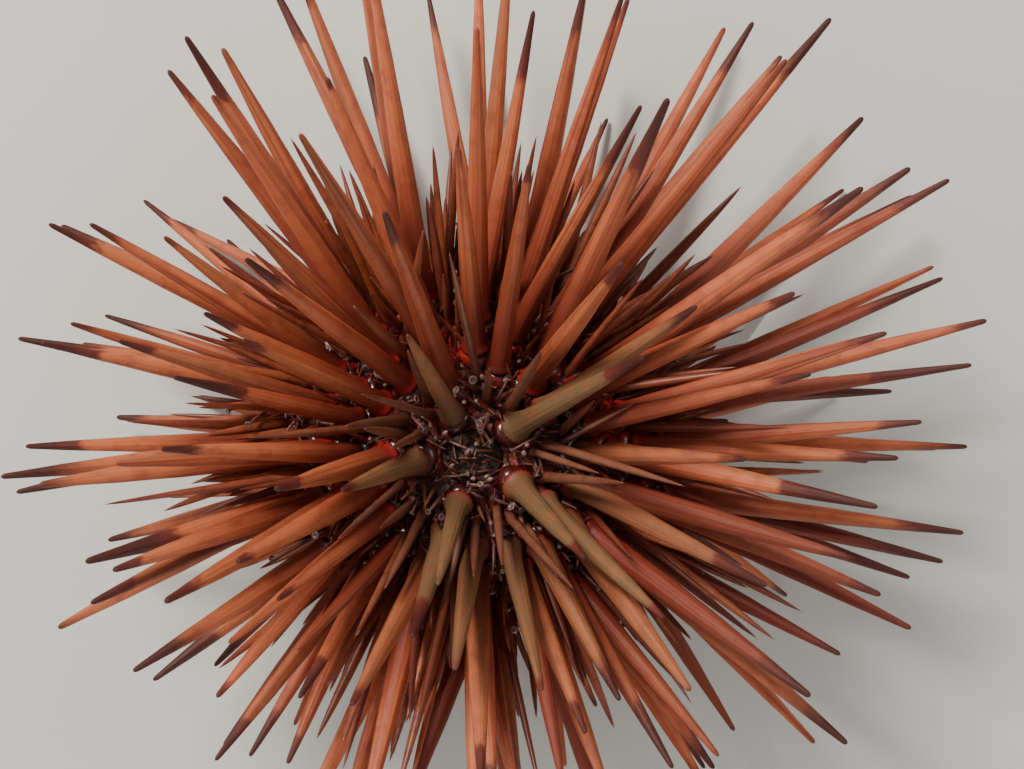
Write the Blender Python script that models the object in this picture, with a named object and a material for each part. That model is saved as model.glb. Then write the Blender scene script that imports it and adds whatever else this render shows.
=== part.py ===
# A reef urchin at life size, standing on its lower spines. Units are metres and +Z is up.
# The shell, called the test, is parted along its ten zones: five wide zones between the rows of
# tube feet and five narrow zones that carry them. Each zone is one solid with its own spines.
# The plates round the vent close the top, and the mouth's membrane with its teeth the underside.
import math

import bmesh
import bpy
import numpy as np
from mathutils import Vector

MM = 0.001

# The test: an oval dome with a flatter underside
TEST_LENGTH = 43 * MM
TEST_WIDTH = 38.5 * MM
CROWN_HEIGHT = 12.5 * MM
UNDERSIDE_DEPTH = 8.5 * MM
WIDEST_LEVEL = 15 * MM
GAP = 0.3 * MM
POLAR_STEPS = 12
STEPS_IN_WIDE = 4
STEPS_IN_NARROW = 3

# The plates round the vent, and the seat that they lie in
VENT_RADIUS = 3.3 * MM
VENT_SEAT = 1.6 * MM
PLATE_RAISE = 0.35 * MM

# The mouth: a membrane in the opening of the underside, its lip and five teeth
MOUTH_RADIUS = 8.6 * MM
MOUTH_SEAT = 2.0 * MM
LIP_RADIUS = 2.9 * MM
TOOTH_LENGTH = 3.2 * MM
TOOTH_WIDTH = 1.25 * MM

# The zones: azimuths in degrees, counted from +X
ZONES = 5
ZONE_TURN = 360 / ZONES
FIRST_WIDE_ZONE = 45.0
WIDE_HALF = 21.5
WIDE_COLUMN = 10.5
NARROW_COLUMN = 7.0

# The rows of spines: distances along the shell from the top of the crown
PLATE_HEIGHT = 3.3 * MM
WIDE_ROWS_FROM = 5.0 * MM
FULL_COLUMN_FROM = 9 * MM
NARROW_ROWS_FROM = 10.2 * MM
ROWS_END = 1.3 * MM

# Stout spines by their share of the way from the crown to the mouth: length, slope above level, radius
SHARE = (0.10, 0.17, 0.24, 0.38, 0.54, 0.64, 0.74, 0.86, 1.0)
LENGTH = tuple(v * MM for v in (20, 25, 29, 33.5, 32.5, 28, 19, 10, 7))
SLOPE = (62, 54, 45, 26, 3, -13, -31, -47, -55)
RADIUS = tuple(v * MM for v in (1.3, 1.3, 1.35, 1.42, 1.36, 1.25, 1.15, 0.8, 0.6))
RADIUS_SPREAD = 0.1
NARROW_SHORTER = 0.9
NARROW_THINNER = 0.86
LONGEST_TOWARDS = 58.0
LONGER_BY = 0.18
FLATTER_BY = 10.0
LENGTH_SPREAD = 0.1
SLOPE_SPREAD = 4.5
HEADING_SPREAD = 3.0
TIER = 6.6 * MM
EVENED = 0.95
ALONG_SPREAD = 0.25 * MM
AZIMUTH_SPREAD = 0.8
STANDING_SHARE = (0.70, 0.785)
STANDING_SLOPE = 31.0
FLOOR_CLEAR = 0.6 * MM
FOOT_RADIUS = 0.45 * MM

# The needles: thin spines that fill the room between the stout ones and run with them
NEEDLES = 380
NEEDLE_BATCH = 60
NEEDLE_SITES = 14
NEEDLE_TRIES = 9
NEEDLE_POLAR = (0.27, 2.42)
NEEDLE_FADE = (1.2, 2.3)
NEEDLE_SHORTEST = 4.5 * MM
NEEDLE_LONGER = (8.0 * MM, 25.0 * MM)
NEEDLE_RADIUS = (0.40 * MM, 0.70 * MM)
NEEDLE_SPACE = 1.3 * MM
NEEDLE_FROM_CUT = 0.85 * MM
NEEDLE_LEAN = 0.3
FLOW_REACH = 5.0 * MM
FLOW_SHARE = 0.85

# One spine's form: places along it as shares of its length, and its radius there
ROOT_DEPTH = 1.3 * MM
ROOT_SHARE = 0.6
COLLAR_HEIGHT = 1.1 * MM
STATIONS = (0.5, 0.8)
SHAFT_SHARE = 0.94
TIP_SHARE = 0.22
TAPER_POWER = 2.0
SPINE_SIDES = 5
NEEDLE_SIDES = 3

# How spines make room for each other
SPACE = 0.42 * MM
CLOSEST = 0.12 * MM
STEEPEST_LEAN = 58.0
CUT_ROOM = 1.15
ROUNDS = 400
PASSES = 2
ASTRAY = 30.0
THINNEST = 0.45 * MM
SEED = 67

COLOURS = {
    "zone": (0.46, 0.13, 0.06, 1),
    "vent": (0.09, 0.03, 0.03, 1),
    "mouth": (0.16, 0.06, 0.05, 1),
}


def half_height(polar):
    return np.where(polar < math.pi / 2, CROWN_HEIGHT, UNDERSIDE_DEPTH)


def on_test(polar, around):
    """A point of the shell: an ellipsoid whose half height differs above and below its widest level."""
    polar, around = np.broadcast_arrays(polar, around)
    x = TEST_LENGTH / 2 * np.sin(polar) * np.cos(around)
    y = TEST_WIDTH / 2 * np.sin(polar) * np.sin(around)
    z = WIDEST_LEVEL + half_height(polar) * np.cos(polar)
    return np.stack([x, y, z], axis=-1)


def normal_at(polar, around):
    """The outward normal of that ellipsoid: each coordinate over its half axis squared."""
    p = on_test(polar, around) - [0, 0, WIDEST_LEVEL]
    height = np.broadcast_to(half_height(polar), p.shape[:-1])
    axes = [np.full_like(height, TEST_LENGTH / 2), np.full_like(height, TEST_WIDTH / 2), height]
    n = p / np.stack(axes, axis=-1) ** 2
    return n / np.linalg.norm(n, axis=-1, keepdims=True)


def polar_table():
    """Polar angles and the distance along the shell to each, on the mean meridian."""
    polar = np.linspace(0, math.pi, 721)
    mean_radius = (TEST_LENGTH + TEST_WIDTH) / 4
    rise = mean_radius * np.cos(polar)
    drop = half_height(polar) * np.sin(polar)
    step = np.hypot(rise, drop) * (polar[1] - polar[0])
    return polar, np.concatenate([[0], np.cumsum((step[1:] + step[:-1]) / 2)])


POLAR, ALONG = polar_table()
MOUTH_POLAR = math.pi - math.asin(MOUTH_RADIUS * 4 / (TEST_LENGTH + TEST_WIDTH))
MOUTH_ALONG = np.interp(MOUTH_POLAR, POLAR, ALONG)


def spine_sites():
    """One row for each stout spine: zone, kind (0 wide, 1 narrow), distance along, azimuth in degrees."""
    sites = []
    for zone in range(ZONES):
        wide = FIRST_WIDE_ZONE + zone * ZONE_TURN
        narrow = wide + ZONE_TURN / 2
        for side in (-1, 1):
            for centre, column, start, late, kind in (
                (wide, WIDE_COLUMN, WIDE_ROWS_FROM, 1.5, 0),
                (narrow, NARROW_COLUMN, NARROW_ROWS_FROM, 0.5, 1),
            ):
                along = start + (side > 0) * late * PLATE_HEIGHT
                while along < MOUTH_ALONG - ROWS_END:
                    azimuth = centre + side * column * min(1, along / FULL_COLUMN_FROM)
                    sites.append((2 * zone + kind, kind, along, azimuth))
                    along += PLATE_HEIGHT
    return np.array(sites)


def shared_out(azimuth, along):
    """Headings in degrees: tier by tier down the shell, the stout spines turn most of the way to even steps
    round the axis, in the order of their feet, so that they fan out with no bundles."""
    heading = azimuth.copy()
    tier = (along / TIER).astype(int)
    for level in np.unique(tier):
        one = np.flatnonzero(tier == level)
        one = one[np.argsort(azimuth[one])]
        even = 360 * np.arange(len(one)) / len(one)
        even += (azimuth[one] - even).mean()
        heading[one] += EVENED * (even - azimuth[one])
    return heading


def places_on_pairs(p, q, d, e, length_p, length_q, share):
    """For pairs of segments p + s d and q + t e: the parts s and t of their lengths at three places each,
    where the lines are nearest, beside the given share of the first and beside that share of the second."""
    r = p - q
    b = np.einsum("ij,ij->i", d, e)
    c = np.einsum("ij,ij->i", d, r)
    f = np.einsum("ij,ij->i", e, r)
    s = np.clip((b * f - c) / np.maximum(1 - b * b, 1e-6), 0, length_p)
    t = np.clip(b * s + f, 0, length_q)
    s = np.clip(b * t - c, 0, length_p)
    s_first, t_second = share * length_p, share * length_q
    t_first = np.clip(b * s_first + f, 0, length_q)
    s_second = np.clip(b * t_second - c, 0, length_p)
    return np.concatenate([s, s_first, s_second]), np.concatenate([t, t_first, t_second])


def radius_at(share, radius):
    """A spine's radius at a share of its length: nearly straight at first, then drawn in to the tip."""
    body = 1 - np.clip(share, 0, 1) ** TAPER_POWER
    return radius * SHAFT_SHARE * (TIP_SHARE + (1 - TIP_SHARE) * body)


def spread_out(base, aim, normal, length, radius, stands):
    """Turns spines apart until each clears the others by SPACE, near to where they were aimed."""
    wanted = aim.copy()
    one, two = np.triu_indices(len(base), 1)
    near = np.linalg.norm(base[one] - base[two], axis=1) < 0.8 * (length[one] + length[two])
    one, two = one[near], two[near]
    first, second = np.tile(one, 3), np.tile(two, 3)
    for number in range(ROUNDS):
        share = 0.1 + 0.8 * (number * 0.618 % 1)
        s, t = places_on_pairs(base[one], base[two], aim[one], aim[two], length[one], length[two], share)
        apart = base[first] + s[:, None] * aim[first] - base[second] - t[:, None] * aim[second]
        distance = np.maximum(np.linalg.norm(apart, axis=1), 1e-6)
        need = radius_at(s / length[first], radius[first]) + radius_at(t / length[second], radius[second])
        short = need + SPACE - distance
        close = short > 0
        i, j = first[close], second[close]
        push = apart[close] / distance[close, None] * (0.3 * short[close, None])
        turn = np.zeros_like(aim)
        np.add.at(turn, i, push / np.maximum(s[close], 3 * MM)[:, None])
        np.add.at(turn, j, -push / np.maximum(t[close], 3 * MM)[:, None])
        pull = 0.03 if number < 0.6 * ROUNDS else 0.006
        aim = aim + np.clip(turn, -0.08, 0.08) + pull * (wanted - aim)
        aim = keep_in_reach(base, aim, normal, length, stands)
    return aim


def crowded(base, aim, length, radius, stands):
    """Marks one spine, not a standing one, of each pair that still comes closer than CLOSEST."""
    one, two = np.triu_indices(len(base), 1)
    first, second = np.tile(one, 3), np.tile(two, 3)
    close = np.zeros(len(first), bool)
    for share in np.linspace(0.04, 1, 20):
        s, t = places_on_pairs(base[one], base[two], aim[one], aim[two], length[one], length[two], share)
        apart = base[first] + s[:, None] * aim[first] - base[second] - t[:, None] * aim[second]
        need = radius_at(s / length[first], radius[first]) + radius_at(t / length[second], radius[second])
        close |= np.linalg.norm(apart, axis=1) - need < CLOSEST
    dropped = np.zeros(len(base), bool)
    for i, j in zip(first[close], second[close]):
        if not (dropped[i] or dropped[j]):
            thinner = i if radius[i] < radius[j] else j
            dropped[(i + j - thinner) if stands[thinner] else thinner] = True
    return dropped


def keep_in_reach(base, aim, normal, length, stands):
    """Keeps each spine within STEEPEST_LEAN of the shell's normal, and over the floor or on it."""
    aim = aim / np.linalg.norm(aim, axis=1, keepdims=True)
    upright = np.einsum("ij,ij->i", aim, normal)
    least = math.cos(math.radians(STEEPEST_LEAN))
    flat = aim - upright[:, None] * normal
    flat /= np.maximum(np.linalg.norm(flat, axis=1, keepdims=True), 1e-9)
    steep = upright < least
    aim[steep] = (least * normal + math.sqrt(1 - least * least) * flat)[steep]
    lowest = -(base[:, 2] - FLOOR_CLEAR) / length
    dip = np.where(stands, -base[:, 2] / length, np.maximum(aim[:, 2], lowest))
    level = aim[:, :2] / np.maximum(np.linalg.norm(aim[:, :2], axis=1, keepdims=True), 1e-9)
    reach = np.sqrt(np.maximum(1 - dip * dip, 0))
    return np.concatenate([level * reach[:, None], dip[:, None]], axis=1)


def stout_spines(draw):
    """The stout spines as arrays: zone, kind, foot on the shell, direction, length, radius and whether
    it stands. Those pushed far from where they were aimed are left out, and the others spread out anew."""
    zone, kind, along, azimuth = spine_sites().T
    zone = zone.astype(int)
    count = len(zone)
    along = along + ALONG_SPREAD * draw.uniform(-1, 1, count)
    azimuth = azimuth + AZIMUTH_SPREAD * draw.uniform(-1, 1, count)
    polar = np.interp(along, ALONG, POLAR)
    around = np.radians(azimuth)
    base = on_test(polar, around)
    normal = normal_at(polar, around)
    share = along / ALONG[-1]
    facing = np.cos(around - math.radians(LONGEST_TOWARDS))
    spread = (1 + LONGER_BY * facing) * (1 + LENGTH_SPREAD * draw.uniform(-1, 1, count))
    length = np.interp(share, SHARE, LENGTH) * spread
    radius = np.interp(share, SHARE, RADIUS) * (1 + RADIUS_SPREAD * draw.uniform(-1, 1, count))
    length = np.where(kind == 1, length * NARROW_SHORTER, length)
    radius = np.where(kind == 1, radius * NARROW_THINNER, radius)
    slope = np.interp(share, SHARE, SLOPE) - FLATTER_BY * facing + SLOPE_SPREAD * draw.uniform(-1, 1, count)
    slope = np.radians(slope)
    heading = np.radians(shared_out(azimuth, along) + HEADING_SPREAD * draw.uniform(-1, 1, count))
    aim = np.stack([np.cos(slope) * np.cos(heading), np.cos(slope) * np.sin(heading), np.sin(slope)], 1)
    stands = (kind == 0) & (share > STANDING_SHARE[0]) & (share < STANDING_SHARE[1])
    length = np.where(stands, base[:, 2] / math.sin(math.radians(STANDING_SLOPE)), length)
    collar = base + COLLAR_HEIGHT * aim
    distance = np.linalg.norm(collar[:, None] - collar[None], axis=2) + 10 * MM * np.eye(count)
    partner = distance.argmin(axis=1)
    room = (distance.min(axis=1) - SPACE) * radius / (radius + radius[partner])
    half = np.where(zone % 2 == 0, WIDE_HALF, ZONE_TURN / 2 - WIDE_HALF)
    middle = FIRST_WIDE_ZONE + zone * ZONE_TURN / 2
    to_cut = np.radians(half - np.abs(azimuth - middle)) * np.hypot(base[:, 0], base[:, 1])
    room = np.minimum(room, CUT_ROOM * (to_cut - GAP))
    radius = np.minimum(radius, np.maximum(room, THINNEST))
    wanted = keep_in_reach(base, aim, normal, length, stands)
    spines = (zone, kind, base, wanted, normal, length, radius, stands)
    for _ in range(PASSES):
        zone, kind, base, wanted, normal, length, radius, stands = spines
        aim = spread_out(base, wanted, normal, length, radius, stands)
        near = np.einsum("ij,ij->i", aim, wanted) > math.cos(math.radians(ASTRAY))
        spines = tuple(values[near | stands] for values in spines)
    kept = ~crowded(base, aim, length, radius, stands)
    return tuple(values[kept] for values in (zone, kind, base, aim, length, radius, stands))


def flow(foot, normal, base, aim):
    """Directions that run with the stout spines round each foot by FLOW_SHARE, and along the normal by
    the rest. A stout spine counts by a bell over its distance."""
    away = np.linalg.norm(foot[:, None] - base[None], axis=2)
    run = np.exp(-((away / FLOW_REACH) ** 2)) @ aim
    run /= np.linalg.norm(run, axis=1, keepdims=True)
    run = FLOW_SHARE * run + (1 - FLOW_SHARE) * normal
    return run / np.linalg.norm(run, axis=1, keepdims=True)


def leaning(middle, draw):
    """The directions, each tipped by up to NEEDLE_LEAN in radians to a random side."""
    across = np.cross(middle, draw.normal(size=middle.shape))
    across /= np.linalg.norm(across, axis=1, keepdims=True)
    tip = NEEDLE_LEAN * np.sqrt(draw.uniform(0, 1, len(middle)))
    return np.cos(tip)[:, None] * middle + np.sin(tip)[:, None] * across


def room_round(foot, aim, length, radius, others):
    """The least gap between each needle and the other spines, measured from places along the needle."""
    base, other_aim, other_length, other_radius = others
    least = np.full(len(foot), 1.0)
    for share in np.linspace(0, 1, 14):
        apart = (foot + (share * length)[:, None] * aim)[:, None] - base[None]
        along = np.clip((apart * other_aim[None]).sum(axis=2), 0, other_length[None])
        gap = np.linalg.norm(apart - along[..., None] * other_aim[None], axis=2)
        gap -= (radius * (1.05 - share))[:, None]
        gap -= radius_at(along / other_length[None], other_radius[None])
        least = np.minimum(least, gap.min(axis=1))
    return least


def needle_sites(draw, base, radius, wanted):
    """Random places on the shell that keep NEEDLE_SPACE from each other and from the spines, and clear
    the cuts."""
    tries = NEEDLE_SITES * wanted
    low, high = (math.cos(polar) for polar in NEEDLE_POLAR)
    polar = np.arccos(draw.uniform(high, low, tries))
    around = draw.uniform(0, 2 * math.pi, tries)
    foot = on_test(polar, around)
    turn = (np.degrees(around) - FIRST_WIDE_ZONE + WIDE_HALF) % ZONE_TURN
    narrow = turn > 2 * WIDE_HALF
    zone = 2 * ((np.degrees(around) - FIRST_WIDE_ZONE + WIDE_HALF) % 360 // ZONE_TURN).astype(int) + narrow
    start, end = np.where(narrow, 2 * WIDE_HALF, 0), np.where(narrow, ZONE_TURN, 2 * WIDE_HALF)
    to_cut = np.minimum(turn - start, end - turn)
    clear = np.radians(to_cut) * np.hypot(foot[:, 0], foot[:, 1]) > NEEDLE_FROM_CUT
    away = np.linalg.norm(foot[:, None] - base[None], axis=2) - 1.1 * radius[None]
    clear &= away.min(axis=1) > 0.5 * NEEDLE_SPACE
    kept = []
    for k in np.flatnonzero(clear):
        if len(kept) < wanted and all(np.linalg.norm(foot[k] - foot[j]) > NEEDLE_SPACE for j in kept):
            kept.append(k)
    return zone[kept], foot[kept], normal_at(polar[kept], around[kept]), polar[kept]


def plan_spines():
    """Every spine as arrays: the stout ones, then the needles batch by batch, the long ones first. Each
    needle takes the direction of a few that leaves the most room, and is left out without enough."""
    draw = np.random.default_rng(SEED)
    zone, kind, base, aim, length, radius, stands = stout_spines(draw)
    stout_base, stout_aim = base, aim
    batches = NEEDLES // NEEDLE_BATCH
    for batch in range(2 * batches):
        early = 1 - batch / (2 * batches)
        where, foot, normal, polar = needle_sites(draw, base, radius, NEEDLE_BATCH)
        high = np.interp(polar, NEEDLE_FADE, (1, 0))
        longer = NEEDLE_LONGER[0] + (NEEDLE_LONGER[1] - NEEDLE_LONGER[0]) * early
        long = NEEDLE_SHORTEST + (longer - NEEDLE_SHORTEST) * high * draw.uniform(0.3, 1, len(foot))
        thicker = (NEEDLE_RADIUS[1] - NEEDLE_RADIUS[0]) * early
        thick = NEEDLE_RADIUS[0] + thicker * draw.uniform(0, 1, len(foot))
        middle = flow(foot, normal, stout_base, stout_aim)
        best, least = middle, np.full(len(foot), -1.0)
        for _ in range(NEEDLE_TRIES):
            tried = keep_in_reach(foot, leaning(middle, draw), normal, long, np.zeros(len(foot), bool))
            room = room_round(foot, tried, long, thick, (base, aim, length, radius))
            better = room > least
            best[better], least[better] = tried[better], room[better]
        kept = np.flatnonzero(least > 2 * CLOSEST)
        one, two = np.triu_indices(len(kept), 1)
        one, two = kept[one], kept[two]
        shut = np.zeros(len(foot), bool)
        for i, j in zip(one, two):
            if not (shut[i] or shut[j]):
                others = (foot[j : j + 1], best[j : j + 1], long[j : j + 1], thick[j : j + 1])
                pair = (foot[i : i + 1], best[i : i + 1], long[i : i + 1], thick[i : i + 1])
                shut[j] = room_round(*pair, others)[0] < 2 * CLOSEST
        kept = kept[~shut[kept]][: NEEDLES - int((kind == 2).sum())]
        zone, kind = np.concatenate([zone, where[kept]]), np.concatenate([kind, 0 * kept + 2])
        base, aim = np.concatenate([base, foot[kept]]), np.concatenate([aim, best[kept]])
        length, radius = np.concatenate([length, long[kept]]), np.concatenate([radius, thick[kept]])
        stands = np.concatenate([stands, np.zeros(len(kept), bool)])
    kept = ~crowded(base, aim, length, radius, stands)
    return tuple(values[kept] for values in (zone, kind, base, aim, length, radius, stands))


def ring(centre, axis, radius, sides, turn):
    """The corners of a regular polygon across the axis."""
    side = axis.cross(Vector((0, 0, 1)) if abs(axis.z) < 0.95 else Vector((1, 0, 0))).normalized()
    other = axis.cross(side)
    steps = [turn + 2 * math.pi * k / sides for k in range(sides)]
    return [centre + radius * (math.cos(a) * side + math.sin(a) * other) for a in steps]


def spine_mesh(base, aim, length, radius, sides, stands, stations):
    """A spine as a closed tapered form: rings from its sunk root to a point, or to a flat foot."""
    rows = [(-ROOT_DEPTH, ROOT_SHARE * radius), (COLLAR_HEIGHT, radius)]
    rows += [(s * length, float(radius_at(s, radius))) for s in stations]
    shape = bmesh.new()
    loops = [[shape.verts.new(p) for p in ring(base + d * aim, aim, r, sides, 0.4)] for d, r in rows]
    if stands:
        foot = ring(base + (length - 1 * MM) * aim, aim, FOOT_RADIUS, sides, 0.4)
        loops.append([shape.verts.new(p - aim * (p.z / aim.z)) for p in foot])
    for low, high in zip(loops, loops[1:]):
        for k in range(sides):
            shape.faces.new((low[k], low[(k + 1) % sides], high[(k + 1) % sides], high[k]))
    if stands:
        shape.faces.new(loops[-1])
    else:
        tip = shape.verts.new(base + length * aim)
        for k in range(sides):
            shape.faces.new((loops[-1][k], loops[-1][(k + 1) % sides], tip))
    shape.faces.new(list(reversed(loops[0])))
    bmesh.ops.recalc_face_normals(shape, faces=shape.faces)
    mesh = bpy.data.meshes.new("spine")
    shape.to_mesh(mesh)
    shape.free()
    return mesh


def turned(profile, azimuths):
    """A closed form turned round the axis from (radius, height) points; the ends lie on the axis."""
    shape = bmesh.new()
    top = shape.verts.new((0, 0, profile[0][1]))
    bottom = shape.verts.new((0, 0, profile[-1][1]))
    loops = []
    for radius, height in profile[1:-1]:
        wide = radius * TEST_LENGTH / (TEST_LENGTH + TEST_WIDTH) * 2
        deep = radius * TEST_WIDTH / (TEST_LENGTH + TEST_WIDTH) * 2
        loops.append([shape.verts.new((wide * math.cos(a), deep * math.sin(a), height)) for a in azimuths])
    sides = len(azimuths)
    for k in range(sides):
        shape.faces.new((top, loops[0][k], loops[0][(k + 1) % sides]))
        shape.faces.new((bottom, loops[-1][(k + 1) % sides], loops[-1][k]))
    for high, low in zip(loops, loops[1:]):
        for k in range(sides):
            shape.faces.new((high[k], low[k], low[(k + 1) % sides], high[(k + 1) % sides]))
    bmesh.ops.recalc_face_normals(shape, faces=shape.faces)
    return shape


def shell_profile():
    """The test's outline from the seat of the vent's plates over the shell to the seat of the mouth."""
    mean = (TEST_LENGTH + TEST_WIDTH) / 4
    start = math.asin(VENT_RADIUS / mean)
    angles = np.linspace(start, MOUTH_POLAR, POLAR_STEPS)
    outer = [(mean * math.sin(a), WIDEST_LEVEL + float(half_height(a)) * math.cos(a)) for a in angles]
    top, bottom = outer[0][1] - VENT_SEAT, outer[-1][1] + MOUTH_SEAT
    return [(0, top), (VENT_RADIUS, top), *outer, (MOUTH_RADIUS, bottom), (0, bottom)]


def shell_azimuths():
    """Azimuths of the shell's meridians: each zone's own steps, so that the cuts fall on edges."""
    found = []
    for zone in range(ZONES):
        wide = FIRST_WIDE_ZONE + zone * ZONE_TURN
        narrow_half = ZONE_TURN / 2 - WIDE_HALF
        found += list(wide + np.linspace(-WIDE_HALF, WIDE_HALF, STEPS_IN_WIDE + 1)[:-1])
        narrow = wide + ZONE_TURN / 2
        found += list(narrow + np.linspace(-narrow_half, narrow_half, STEPS_IN_NARROW + 1)[:-1])
    return [math.radians(a) for a in found]


def cut_flat(shape, point, outward):
    """Removes what lies beyond a plane and closes the cut."""
    whole = shape.verts[:] + shape.edges[:] + shape.faces[:]
    bmesh.ops.bisect_plane(shape, geom=whole, dist=1e-7, plane_co=point, plane_no=outward, clear_outer=True)
    rim = [e for e in shape.edges if e.is_boundary]
    bmesh.ops.holes_fill(shape, edges=rim, sides=0)


def zone_shell(start, end):
    """The wedge of the test between two azimuths in degrees, half a gap inside each."""
    shape = turned(shell_profile(), shell_azimuths())
    for azimuth, sign in ((start, -1), (end, 1)):
        a = math.radians(azimuth)
        outward = sign * Vector((-math.sin(a) * TEST_WIDTH, math.cos(a) * TEST_LENGTH, 0)).normalized()
        cut_flat(shape, -GAP / 2 * outward, outward)
    bmesh.ops.triangulate(shape, faces=[f for f in shape.faces if len(f.verts) > 4])
    bmesh.ops.recalc_face_normals(shape, faces=shape.faces)
    return shape


def tooth_mesh(azimuth):
    """One tooth of the jaw: a chisel that leans in to the middle of the mouth."""
    level = WIDEST_LEVEL - UNDERSIDE_DEPTH
    out = Vector((math.cos(azimuth), math.sin(azimuth), 0))
    side = Vector((-out.y, out.x, 0))
    up = Vector((0, 0, 1))
    root = 1.55 * MM * out + (level + 1.5 * MM) * up
    tip = 0.42 * MM * out + (level + 0.9 * MM - TOOTH_LENGTH) * up
    shape = bmesh.new()
    rows = []
    ends = ((root, TOOTH_WIDTH / 2, 0.5 * MM), (tip, TOOTH_WIDTH / 6, 0.22 * MM))
    for centre, half_width, half_thick in ends:
        across, through = half_width * side, half_thick * out
        corners = (-across - through, across - through, across + through, through - across)
        rows.append([shape.verts.new(centre + corner) for corner in corners])
    for k in range(4):
        shape.faces.new((rows[0][k], rows[0][(k + 1) % 4], rows[1][(k + 1) % 4], rows[1][k]))
    shape.faces.new(rows[1])
    shape.faces.new(list(reversed(rows[0])))
    bmesh.ops.recalc_face_normals(shape, faces=shape.faces)
    mesh = bpy.data.meshes.new("tooth")
    shape.to_mesh(mesh)
    shape.free()
    return mesh


def plate_mesh(azimuth):
    """One genital plate: a low wedge with five corners, its point towards the vent."""
    outline = ((0.4, 0.0), (0.6, 0.40), (0.88, 0.34), (0.88, -0.34), (0.6, -0.40))
    level = vent_level()
    shape = bmesh.new()
    rows = []
    for rise, shrink in ((-0.5 * MM, 1.0), (PLATE_RAISE, 0.86)):
        row = []
        for radius, offset in outline:
            r = (0.68 + (radius - 0.68) * shrink) * (VENT_RADIUS - GAP)
            a = azimuth + offset * shrink
            row.append(shape.verts.new((r * math.cos(a), r * math.sin(a), level + rise)))
        rows.append(row)
    sides = len(outline)
    for k in range(sides):
        shape.faces.new((rows[0][k], rows[0][(k + 1) % sides], rows[1][(k + 1) % sides], rows[1][k]))
    shape.faces.new(rows[1])
    shape.faces.new(list(reversed(rows[0])))
    bmesh.ops.recalc_face_normals(shape, faces=shape.faces)
    mesh = bpy.data.meshes.new("plate")
    shape.to_mesh(mesh)
    shape.free()
    return mesh


def vent_level():
    """Height of the shell at the rim of the vent's plates."""
    mean = (TEST_LENGTH + TEST_WIDTH) / 4
    return WIDEST_LEVEL + CROWN_HEIGHT * math.cos(math.asin(VENT_RADIUS / mean))


def material(name, colour):
    made = bpy.data.materials.new(name)
    made.use_nodes = True
    shader = made.node_tree.nodes["Principled BSDF"]
    shader.inputs["Base Color"].default_value = colour
    shader.inputs["Roughness"].default_value = 0.45
    shader.inputs["Metallic"].default_value = 0.0
    return made


def largest_surface(mesh):
    """Keeps the closed surface that holds the most, and drops any scrap or sealed hollow."""
    shape = bmesh.new()
    shape.from_mesh(mesh)
    left, surfaces = set(shape.verts), []
    while left:
        seen, edge = set(), [left.pop()]
        while edge:
            vert = edge.pop()
            seen.add(vert)
            edge += [v for e in vert.link_edges for v in e.verts if v in left and v not in seen]
            left.difference_update(edge)
        surfaces.append(seen)
    if len(surfaces) > 1:
        def held(verts):
            faces = {f for v in verts for f in v.link_faces}
            return sum(f.calc_center_median().dot(f.normal) * f.calc_area() for f in faces)

        surfaces.sort(key=held)
        drop = [v for verts in surfaces[:-1] for v in verts]
        bmesh.ops.delete(shape, geom=drop, context="VERTS")
    shape.to_mesh(mesh)
    shape.free()


def joined(name, body, pieces, finish, parent):
    """One node: the body and the pieces that grow from it, made one closed form by a Boolean union."""
    mesh = bpy.data.meshes.new(name)
    body.to_mesh(mesh)
    body.free()
    node = bpy.data.objects.new(name, mesh)
    bpy.context.scene.collection.objects.link(node)
    group = bpy.data.collections.new(name + "_pieces")
    for piece in pieces:
        group.objects.link(bpy.data.objects.new("piece", piece))
    union = node.modifiers.new("union", "BOOLEAN")
    union.operation = "UNION"
    union.operand_type = "COLLECTION"
    union.collection = group
    union.solver = "MANIFOLD"
    bpy.context.view_layer.update()
    graph = bpy.context.evaluated_depsgraph_get()
    made = bpy.data.meshes.new_from_object(node.evaluated_get(graph))
    node.modifiers.clear()
    for piece in list(group.objects):
        bpy.data.objects.remove(piece)
    bpy.data.collections.remove(group)
    largest_surface(made)
    made.name = name
    made.materials.clear()
    made.materials.append(finish)
    node.data = made
    node.parent = parent
    return node


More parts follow.
